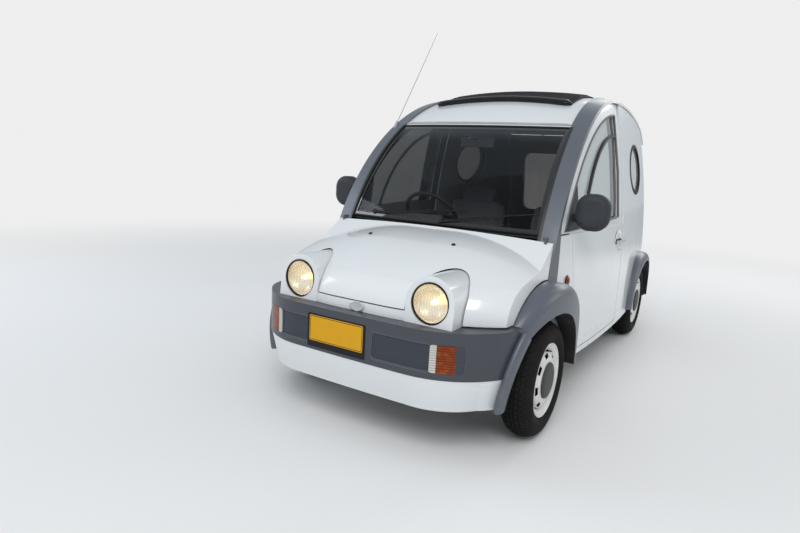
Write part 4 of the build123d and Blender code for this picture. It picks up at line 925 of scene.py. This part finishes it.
# Tread: where it starts, its grooves, and every fourth step of the turn cut at a slant
TYRE_STEPS = 252
TREAD_RADIUS, TREAD_HALF = 0.2695, 0.0585
GROOVES = ((0.005, 0.0118), (0.0262, 0.0322))
CUT_SLANT, CUT_PITCH, CUT_DEPTH = 160, 4, 0.003

# Slots of the disc: the ring they lie in, and five steps of every twelve open
DISC_STEPS = 96
SLOT_RING = (0.118, 0.1362)
SLOT_PITCH, SLOT_WIDE = 12, 5


def in_metres(points):
    return [(along / 1000, out / 1000) for along, out in points]


def turn_of(place):
    """Place round the wheel, in whole turns."""
    return Vector((place.y, place.z)).angle_signed(Vector((0, 1)), 0) / (2 * pi)


def tyre_shape():
    half = in_metres(TYRE_HALF)
    profile = [(-a, r) for a, r in reversed(half[1:])] + half + [(-half[-1][0], half[-1][1])]
    shape = lathe(profile, ORIGIN, OUTBOARD, TYRE_STEPS)
    cuts = []
    for face in shape.faces:
        middle = face.calc_center_median()
        across = abs(middle.x)
        if hypot(middle.y, middle.z) < TREAD_RADIUS or across > TREAD_HALF or face.normal.x**2 > 0.36:
            continue
        if any(low < across < high for low, high in GROOVES):
            continue
        if round(turn_of(middle) * TYRE_STEPS + across * CUT_SLANT) % CUT_PITCH == 0:
            cuts.append(face)
    bmesh.ops.inset_individual(shape, faces=cuts, thickness=0.0006, depth=-CUT_DEPTH)
    return shape


def disc_shape():
    shape = lathe(in_metres(DISC), ORIGIN, OUTBOARD, DISC_STEPS)
    holes = []
    for face in shape.faces:
        middle = face.calc_center_median()
        if SLOT_RING[0] < hypot(middle.y, middle.z) < SLOT_RING[1]:
            if int((turn_of(middle) + 1) * DISC_STEPS) % SLOT_PITCH < SLOT_WIDE:
                holes.append(face)
    bmesh.ops.delete(shape, geom=holes, context="FACES")
    bmesh.ops.recalc_face_normals(shape, faces=shape.faces)
    return shape


def at_wheel(shape, side, axle_y):
    """A copy of the shape at one wheel, its outer face outboard."""
    made = shape.copy()
    bmesh.ops.scale(made, vec=(side, 1, 1), verts=made.verts)
    bmesh.ops.translate(made, vec=(side * WHEEL_X, axle_y, AXLE_Z), verts=made.verts)
    if side < 0:
        bmesh.ops.reverse_faces(made, faces=made.faces)
    return made


def wall(made, thickness):
    """Thickness for a piece of one skin, laid on its inner side."""
    thick = made.modifiers.new("wall", "SOLIDIFY")
    thick.thickness = thickness
    thick.offset = -1


def wheel(corner, side, axle_y, parts):
    """One wheel's pieces, each a copy of its part."""
    made = {}
    for part, shape, coat, slot, crease in parts:
        copied = at_wheel(shape, side, axle_y)
        made[part] = piece(f"{part}_{corner}", copied, coat, "wheel_" + corner, crease)
    disc = made["rim_disc"]
    wall(disc, 0.0035)
    round_off = disc.modifiers.new("soft_edges", "BEVEL")
    round_off.width = 0.0012
    round_off.segments = 2
    round_off.limit_method = "ANGLE"
    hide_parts("tyre_" + corner)
    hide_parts("rim_" + corner)


wheel_parts = (
    ("tread", tyre_shape(), tyre_rubber, "tyre", 50),
    ("rim_barrel", lathe(in_metres(RIM_EDGE), ORIGIN, OUTBOARD), wheel_white, "rim_paint", 60),
    ("rim_disc", disc_shape(), wheel_white, "rim_paint", 60),
    ("rim_cap", lathe(in_metres(CAP), ORIGIN, OUTBOARD, 64), cap_grey, "dark_plastic", 60),
    ("valve", lathe(in_metres(VALVE), VALVE_AT, VALVE_AXIS, 16), black_rubber, "black_rubber", 60),
)
for end_name, axle_y in (("f", FRONT_AXLE), ("r", REAR_AXLE)):
    for side_name, side in SIDES:
        wheel(end_name + side_name[0], side, axle_y, wheel_parts)
for part in wheel_parts:
    part[1].free()

# Headlamps: fluted glass, silvered bowl, bulb and dark rubber ring, each (ahead, radius)

LENS = [(-0.012, 0.0885), (-0.0095, 0.0865), (0.002, 0.07), (0.0105, 0.05), (0.0148, 0.026), (0.016, 0)]
BOWL = [(-0.012, 0.0875), (-0.022, 0.083), (-0.036, 0.07), (-0.047, 0.052), (-0.055, 0.03), (-0.058, 0)]
BULB = [
    (-0.05, 0.012), (-0.036, 0.012), (-0.034, 0.0085), (-0.024, 0.0085), (-0.019, 0.006), (-0.017, 0),
]
RING = [
    (-0.0125, 0.0925), (-0.006, 0.0928), (-0.0015, 0.0905), (-0.002, 0.0875), (-0.0075, 0.0855),
    (-0.0125, 0.0862), (-0.0125, 0.0925),
]


def headlamp(side_name, side):
    centre = (side * LAMP[0], LAMP[1] - 0.002, LAMP[2])
    for part, profile, steps, coat, slot in (
        ("lens", LENS, 72, headlamp_glass, "lamp_glass"),
        ("bowl", BOWL, 72, headlamp_silver, "chrome"),
        ("bulb", BULB, 32, headlamp_bulb, "lamp_glass"),
        ("ring", RING, 72, black_rubber, "black_rubber"),
    ):
        turned = lathe(profile, centre, AHEAD, steps)
        piece(f"headlamp_{part}_{side_name}", turned, coat, "root")
    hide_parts("headlamps")


for side_name, side in SIDES:
    headlamp(side_name, side)

# Canvas roof: flat size, as cut, and its grid

CANVAS_GRID = (46, 72)
CANVAS_BOWS = 5


def canvas_cloth():
    """Canvas stretched over five bows, held down along its edges and puckered by its hem."""
    cloth = bmesh.new()
    bmesh.ops.create_grid(cloth, x_segments=CANVAS_GRID[0], y_segments=CANVAS_GRID[1], size=0.5)
    for v in cloth.verts:
        across, along = v.co.x * 2, v.co.y + 0.5
        x = across * (CANVAS_HALF - 0.004)
        y = CANVAS_FRONT + (CANVAS_REAR - CANVAS_FRONT - 0.004) * along
        near = min((1 - abs(across)) * CANVAS_HALF, CANVAS_REAR - y)
        lift = 0.0035 + 0.0145 * (1 - (1 - min(near / 0.05, 1)) ** 2)
        bow = 0.5 + 0.5 * cos(2 * pi * (along * CANVAS_BOWS - 0.1))
        lift += (0.0045 * bow - 0.004) * min(near / 0.09, 1)
        pucker = sin(along * 95) * 0.0011 * (1 - min(abs(near - 0.03) / 0.05, 1))
        v.co = (x, y, roof_z(x, y) + max(lift + pucker, 0.003))
    canvas = piece("canvas_cloth", cloth, canvas_black, "root", 70)
    wall(canvas, 0.002)
    return canvas


def canvas_bar():
    """Gloss bar along the front of the canvas."""
    stations = []
    y = CANVAS_FRONT + 0.001
    for n in range(33):
        t = -1 + 2 * n / 32
        x = t * (CANVAS_HALF + 0.001)
        end = rounded_end(t, 0.955, 0.02)
        centre = (x, y, roof_z(x, y) + 0.0155)
        stations.append((centre, (0, 0.031 * end, 0.0085 * end), (0, -0.002, 0.0165 * end)))
    return piece("canvas_front_bar", bar(stations), gloss_black, "root")


def canvas_hem():
    """Rubber welt down one side of the canvas, across its rear and up the other."""
    first, last = CANVAS_FRONT + 0.03, CANVAS_REAR - 0.012
    rows = [first + (last - first) * n / 18 for n in range(19)]
    across = CANVAS_HALF - 0.009
    line = [(across, y) for y in rows] + [(-across, y) for y in reversed(rows)]
    points = [(x, y, roof_z(x, y) + 0.006) for x, y in line]
    return piping("canvas_hem", points, 0.0042, black_rubber, "root")


canvas = canvas_cloth()
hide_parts("canvas_roof")
front_bar = canvas_bar()
hem_strip = canvas_hem()

# Seats: half width, half length and half depth of each pad, its crown, its bolsters and its sewn channels

SEAT_X = 0.335
SQUAB = (0.225, 0.225, 0.052, 0.012, 0.022, (-0.4, 0.0, 0.4))
BACK = (0.222, 0.262, 0.045, 0.010, 0.026, (-0.5, -0.15, 0.2, 0.55))
HEADREST = (0.128, 0.062, 0.04, 0.006, 0.0, ())


def swell(at, middle, half):
    """1 at middle, falling to 0 at half a width away."""
    return max(0, 1 - ((at - middle) / half) ** 2)


def pad_shape(wide, long, deep, crown, bolster, channels, place):
    """A crowned pad that pulls in at its corners, with sewn channels and a seam by each bolster."""
    shape = bmesh.new()
    bmesh.ops.create_cube(shape, size=2)
    bmesh.ops.subdivide_edges(shape, edges=shape.edges[:], cuts=30, use_grid_fill=True)
    for v in shape.verts:
        u, w, h = v.co
        pinch = 1 - 0.045 * (abs(u) ** 3) * (abs(w) ** 3)
        round_u = u * sqrt(1 - 0.08 * w**4)
        round_w = w * sqrt(1 - 0.08 * u**4)
        edge = max(abs(u), abs(w))
        z = h * deep * (1 - 0.42 * max(0, (edge - 0.72) / 0.28) ** 2.2)
        if h > 0:
            z += h * crown * (1 - u**4) * (1 - w**4)
            z += h * bolster * swell(abs(u), 0.8, 0.17)
            for line in channels:
                z -= h * 0.009 * swell(w, line, 0.045) * max(0, 1 - abs(u) / 0.66) ** 0.25
            z -= h * 0.007 * swell(abs(u), 0.6, 0.035)
        v.co = (round_u * pinch * wide, round_w * pinch * long, z)
    bmesh.ops.transform(shape, matrix=place, verts=shape.verts)
    return shape


def pad_piping(wide, long, deep, place):
    """The welt round a pad's upper edge, a square with round corners."""
    points = []
    for n in range(64):
        turn = 2 * pi * n / 64
        c, s = cos(turn), sin(turn)
        far = 0.955 * (abs(c) ** 7 + abs(s) ** 7) ** (-1 / 7)
        points.append(tuple(place @ Vector((c * far * wide, s * far * long, deep * 0.62))))
    return points


def seat_pad(part, side_name, sizes, centre, lean):
    """One soft pad and the welt round it."""
    place = Matrix.Translation(centre) @ Matrix.Rotation(radians(lean), 4, "X")
    name = f"seat_{part}_{side_name}"
    pad = piece(name, pad_shape(*sizes, place), seat_cloth, "root", 180)
    soft = pad.modifiers.new("soft", "SUBSURF")
    soft.levels = soft.render_levels = 1
    points = pad_piping(*sizes[:3], place)
    welt = f"seat_{part}_piping_{side_name}"
    piping(welt, points, 0.0036, seat_side, "root", closed=True)
    return pad


for side_name, side in SIDES:
    middle = side * SEAT_X
    squab = seat_pad("squab", side_name, SQUAB, (middle, -0.02, 0.455), -7)
    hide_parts("seats")
    seat_pad("back", side_name, BACK, (middle, 0.268, 0.772), 77.5)
    seat_pad("headrest", side_name, HEADREST, (middle, 0.335, 1.067), 77.5)
    base = plate(0.4, 0.42, 0.05, 0.088, placed((middle, 0.01, 0.3055), (1, 0, 0), (0, 1, 0)), 0.012)
    piece("seat_base_" + side_name, base, trim_plastic, "root")

# Wipers: the pivot and the tip of each on the glass, across and up

WIPERS = (((-0.423, 0.990), (0.188, 1.039)), ((0.028, 0.977), (0.560, 1.054)))
ARM_SHARE = 0.62
BLADE_FROM = 0.1
PIVOT_HUB = [(0, 0.0135), (0.006, 0.0135), (0.0095, 0.0115), (0.011, 0.006), (0.0112, 0)]
PIVOT_AXIS = (0, -0.86, 0.5)


def wiper(number, pivot, tip):
    """A tapered arm from its pivot, and a blade in a carrier along the glass."""

    def on_glass(t, out, lift=0.0):
        x = pivot[0] + (tip[0] - pivot[0]) * t
        z = pivot[1] + (tip[1] - pivot[1]) * t + lift
        return Vector((x, screen_y(x, z, out), z))

    arm = []
    for n in range(13):
        place = on_glass(n / 12 * ARM_SHARE, 0.0075)
        arm.append((place, (0, 0.0022, 0.0018), (0, -0.001, 0.0062 - 0.0028 * n / 12)))
    run = [BLADE_FROM + (1 - BLADE_FROM) * n / 24 for n in range(25)]
    carrier = [(on_glass(t, 0.0052, 0.0085), (0, 0.0016, 0.0011), (0, -0.001, 0.0032)) for t in run]
    lip = [(on_glass(t, 0.002, 0.009), (0, 0.0011, 0.0005), (0, -0.0004, 0.001)) for t in run]
    arm_piece = piece(f"wiper_arm_{number}", bar(arm, 12), black_plastic, "root", 60)
    piece(f"wiper_carrier_{number}", bar(carrier, 10), black_plastic, "root", 60)
    piece(f"wiper_lip_{number}", bar(lip, 8), black_rubber, "root", 60)
    hub = lathe(PIVOT_HUB, on_glass(0.0, -0.001), PIVOT_AXIS, 28)
    piece(f"wiper_pivot_{number}", hub, black_plastic, "root")
    return arm_piece


arms = [wiper(number, pivot, tip) for number, (pivot, tip) in enumerate(WIPERS)]
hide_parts("wipers")

# Small fittings: places of each (along, up), or as three numbers, and profiles (along the axis, radius)

MIRROR_AT = (0.7815, -0.7203, 1.085)
HANDLE_DISH_AT, DOOR_LOCK_AT = (0.175, 0.85), (0.215, 0.8)
MARKER_AT = (-0.78, 0.722)
JET_AT = (0.25, -1.229, 0.9)
BADGE_AT = (0, -1.6725, 0.624)
TAIL_HANDLE_Z, TAIL_LOCK_Z = 0.64, 0.585
DISH = [
    (0, 0.1), (0.0022, 0.0985), (0.0032, 0.0955), (0.0028, 0.092), (0.0012, 0.086), (0.0004, 0.07),
    (0.0002, 0),
]
DOOR_LOCK_DEEP, TAIL_LOCK_DEEP = 0.003, 0.004
MARKER = [(0, 0.0265), (0.005, 0.0265), (0.011, 0.0215), (0.0145, 0.012), (0.0155, 0)]
MARKER_RING = [(0, 0.0295), (0.0035, 0.0295), (0.0045, 0.0275), (0.0035, 0.0267), (0, 0.0267), (0, 0.0295)]
JET = [(-0.002, 0.0105), (0.001, 0.0105), (0.004, 0.0085), (0.0055, 0.005), (0.006, 0)]
BADGE = [(0, 0.028), (0.0016, 0.0278), (0.0026, 0.026), (0.0028, 0.023), (0.0022, 0.0215), (0.002, 0)]


def on_side(side, place, out):
    """A place on the body side, a little out from its surface."""
    return (side * (side_x(*place) + out), *place)


def lock_piece(name, place, axis, body, deep):
    """A chrome lock with a sunk key plate."""
    profile = [(0, 0.0125), (deep, 0.0125), (deep + 0.0015, 0.011), (deep + 0.0015, 0.0085)]
    profile += [(deep + 0.0005, 0.008), (deep + 0.0005, 0)]
    piece(name, lathe(profile, place, axis, 32), chrome, body)


def mirror_glass(side_name, side):
    """Silvered glass on the back of the mirror head."""
    place = placed((side * MIRROR_AT[0], *MIRROR_AT[1:]), (-1, side * -0.12, 0), (0, 0, 1))
    glass = plate(0.146, 0.166, 0.06, 0.0015, place, 0.0006)
    piece("mirror_glass_" + side_name, glass, silver, "door_" + side_name)


def door_handle(side_name, side):
    """Pressed dish behind the handle, the dark insert in it, and the lock below."""
    door = "door_" + side_name
    outward = (side, 0, 0)
    dish = lathe(DISH, ORIGIN, outward, 64)
    bmesh.ops.scale(dish, vec=(1, 1, 0.8), verts=dish.verts)
    bmesh.ops.translate(dish, vec=on_side(side, HANDLE_DISH_AT, -0.001), verts=dish.verts)
    piece("handle_dish_" + side_name, dish, white_plain, door)
    place = placed(on_side(side, HANDLE_AT, -0.0005), (0, side, 0), (0, 0, 1))
    insert = plate(0.16, 0.03, 0.0145, 0.0022, place, 0.0008)
    piece("handle_plate_" + side_name, insert, black_plastic, door)
    lock_piece("door_lock_" + side_name, on_side(side, DOOR_LOCK_AT, 0.0005), outward, door, DOOR_LOCK_DEEP)


def side_marker(side_name, side):
    """Round amber repeater in a rubber ring."""
    place, outward = on_side(side, MARKER_AT, -0.001), (side, 0, 0)
    piece("side_marker_" + side_name, lathe(MARKER, place, outward, 36), amber, "root")
    ring = lathe(MARKER_RING, place, outward, 36)
    piece("marker_ring_" + side_name, ring, black_rubber, "root")


def washer_jet(side_name, side):
    jet = lathe(JET, (side * JET_AT[0], *JET_AT[1:]), (0, -0.25, 1), 24)
    piece("washer_jet_" + side_name, jet, black_plastic, "bonnet")


def nose_oval():
    """Bare oval at the badge's place."""
    badge = lathe(BADGE, ORIGIN, (0, -1, 0.1), 48)
    bmesh.ops.scale(badge, vec=(1.45, 1, 0.86), verts=badge.verts)
    bmesh.ops.translate(badge, vec=BADGE_AT, verts=badge.verts)
    piece("nose_oval", badge, badge_metal, "root")


def tailgate_fittings():
    """Handle and lock of the tailgate."""
    spot = (0, tail_y(0, TAIL_HANDLE_Z, -0.001), TAIL_HANDLE_Z)
    grip = plate(0.2, 0.046, 0.022, 0.014, placed(spot, (-1, 0, 0), (0, -0.167, 1)), 0.005)
    piece("tailgate_handle", grip, black_plastic, "tailgate")
    spot = (0, tail_y(0, TAIL_LOCK_Z), TAIL_LOCK_Z)
    lock_piece("tailgate_lock", spot, (0, 1, 0.16), "tailgate", TAIL_LOCK_DEEP)


for side_name, side in SIDES:
    mirror_glass(side_name, side)
    door_handle(side_name, side)
    side_marker(side_name, side)
    washer_jet(side_name, side)
nose_oval()
tailgate_fittings()

# Floor, light and camera

BACKDROP = 0.86
BLACK = (0.0, 0.0, 0.0)


def stage_floor():
    """Pale floor, which fades to the backdrop's tone far from the van where the camera sees it."""
    shape = bmesh.new()
    bmesh.ops.create_circle(shape, cap_ends=True, segments=64, radius=40)
    coat = Coat("floor_pale")
    cloud = coat.noise(0.8, 3.0)
    seen = coat.node("ShaderNodeLightPath", {}, {}, "Is Camera Ray")
    edge = coat.x.far(coat.y).rise(2.6, 9.0) * seen
    near = coat.mix(cloud, (0.80, 0.80, 0.80), (0.78, 0.78, 0.78))
    glow = coat.mix(edge, BLACK, (BACKDROP, BACKDROP, BACKDROP))
    paint = coat.finish(
        coat.mix(edge, near, BLACK),
        roughness=0.9,
        specular_ior_level=0.0,
        emission_color=glow,
        emission_strength=1.0,
    )
    shown("floor", mesh_of("floor", shape, paint))


def studio_world():
    """Sky light on the van, and a pale backdrop for the camera and through glass."""
    world = bpy.data.worlds.new("studio")
    scene.world = world
    world.use_nodes = True
    sky = world.node_tree
    sky.nodes.clear()
    path = sky.nodes.new("ShaderNodeLightPath")
    shown = sky.nodes.new("ShaderNodeMath")
    shown.operation = "MAXIMUM"
    sky.links.new(path.outputs["Is Camera Ray"], shown.inputs[0])
    sky.links.new(path.outputs["Is Transmission Ray"], shown.inputs[1])
    either = sky.nodes.new("ShaderNodeMixShader")
    sky.links.new(shown.outputs[0], either.inputs[0])
    for slot, colour, strength in ((1, (0.86, 0.93, 1.0, 1), 0.54), (2, (1, 1, 1, 1), BACKDROP)):
        light = sky.nodes.new("ShaderNodeBackground")
        light.inputs["Color"].default_value = colour
        light.inputs["Strength"].default_value = strength
        sky.links.new(light.outputs[0], either.inputs[slot])
    end = sky.nodes.new("ShaderNodeOutputWorld")
    sky.links.new(either.outputs[0], end.inputs[0])


def studio_light(name, place, aim, size, power, colour):
    """A soft lamp at place, turned to aim."""
    light = bpy.data.lights.new(name, "AREA")
    light.shape = "RECTANGLE"
    light.size, light.size_y = size
    light.energy = power
    light.color = colour
    made = shown(name, light)
    made.location = place
    made.rotation_mode = "QUATERNION"
    made.rotation_quaternion = (Vector(aim) - Vector(place)).to_track_quat("-Z", "Y")


# The photograph's camera: its eye, its turn in degrees, and its focal length and picture width in pixels
EYE = (1.497, -3.730, 1.277)
YAW, PITCH, ROLL = 31.78, -10.22, 3.17
FOCAL_PIXELS, PICTURE_PIXELS = 569.4, 800
SENSOR_WIDTH = 36


def photo_camera():
    yaw, pitch, roll = radians(YAW), radians(PITCH), radians(ROLL)
    ahead = Vector((-sin(yaw) * cos(pitch), cos(yaw) * cos(pitch), sin(pitch)))
    level = Vector((cos(yaw), sin(yaw), 0))
    right = level * cos(roll) + level.cross(ahead) * sin(roll)
    up = right.cross(ahead)
    view = bpy.data.cameras.new("photo_view")
    view.sensor_width = SENSOR_WIDTH
    view.lens = FOCAL_PIXELS * SENSOR_WIDTH / PICTURE_PIXELS
    scene.camera = shown("photo_view", view)
    turned = Matrix((right, up, -ahead)).transposed().to_4x4()
    scene.camera.matrix_world = Matrix.Translation(EYE) @ turned


stage_floor()
studio_world()
studio_light("key_light", (2.4, -6.0, 5.6), (0, 0, 0.7), (4.5, 3.5), 285, (1.0, 0.985, 0.96))
studio_light("fill_light", (-6.0, -3.0, 3.6), (0, -0.4, 0.8), (4.0, 3.0), 110, (0.9, 0.95, 1.0))
studio_light("rear_light", (1.5, 6.5, 4.5), (0, 0.4, 1.0), (5.0, 3.0), 160, (1.0, 0.99, 0.97))
studio_light("side_light", (6.5, 3.4, 3.0), (0.5, 1.2, 0.9), (3.0, 3.0), 60, (1.0, 0.9, 0.78))
photo_camera()
scene.view_settings.view_transform = "Standard"
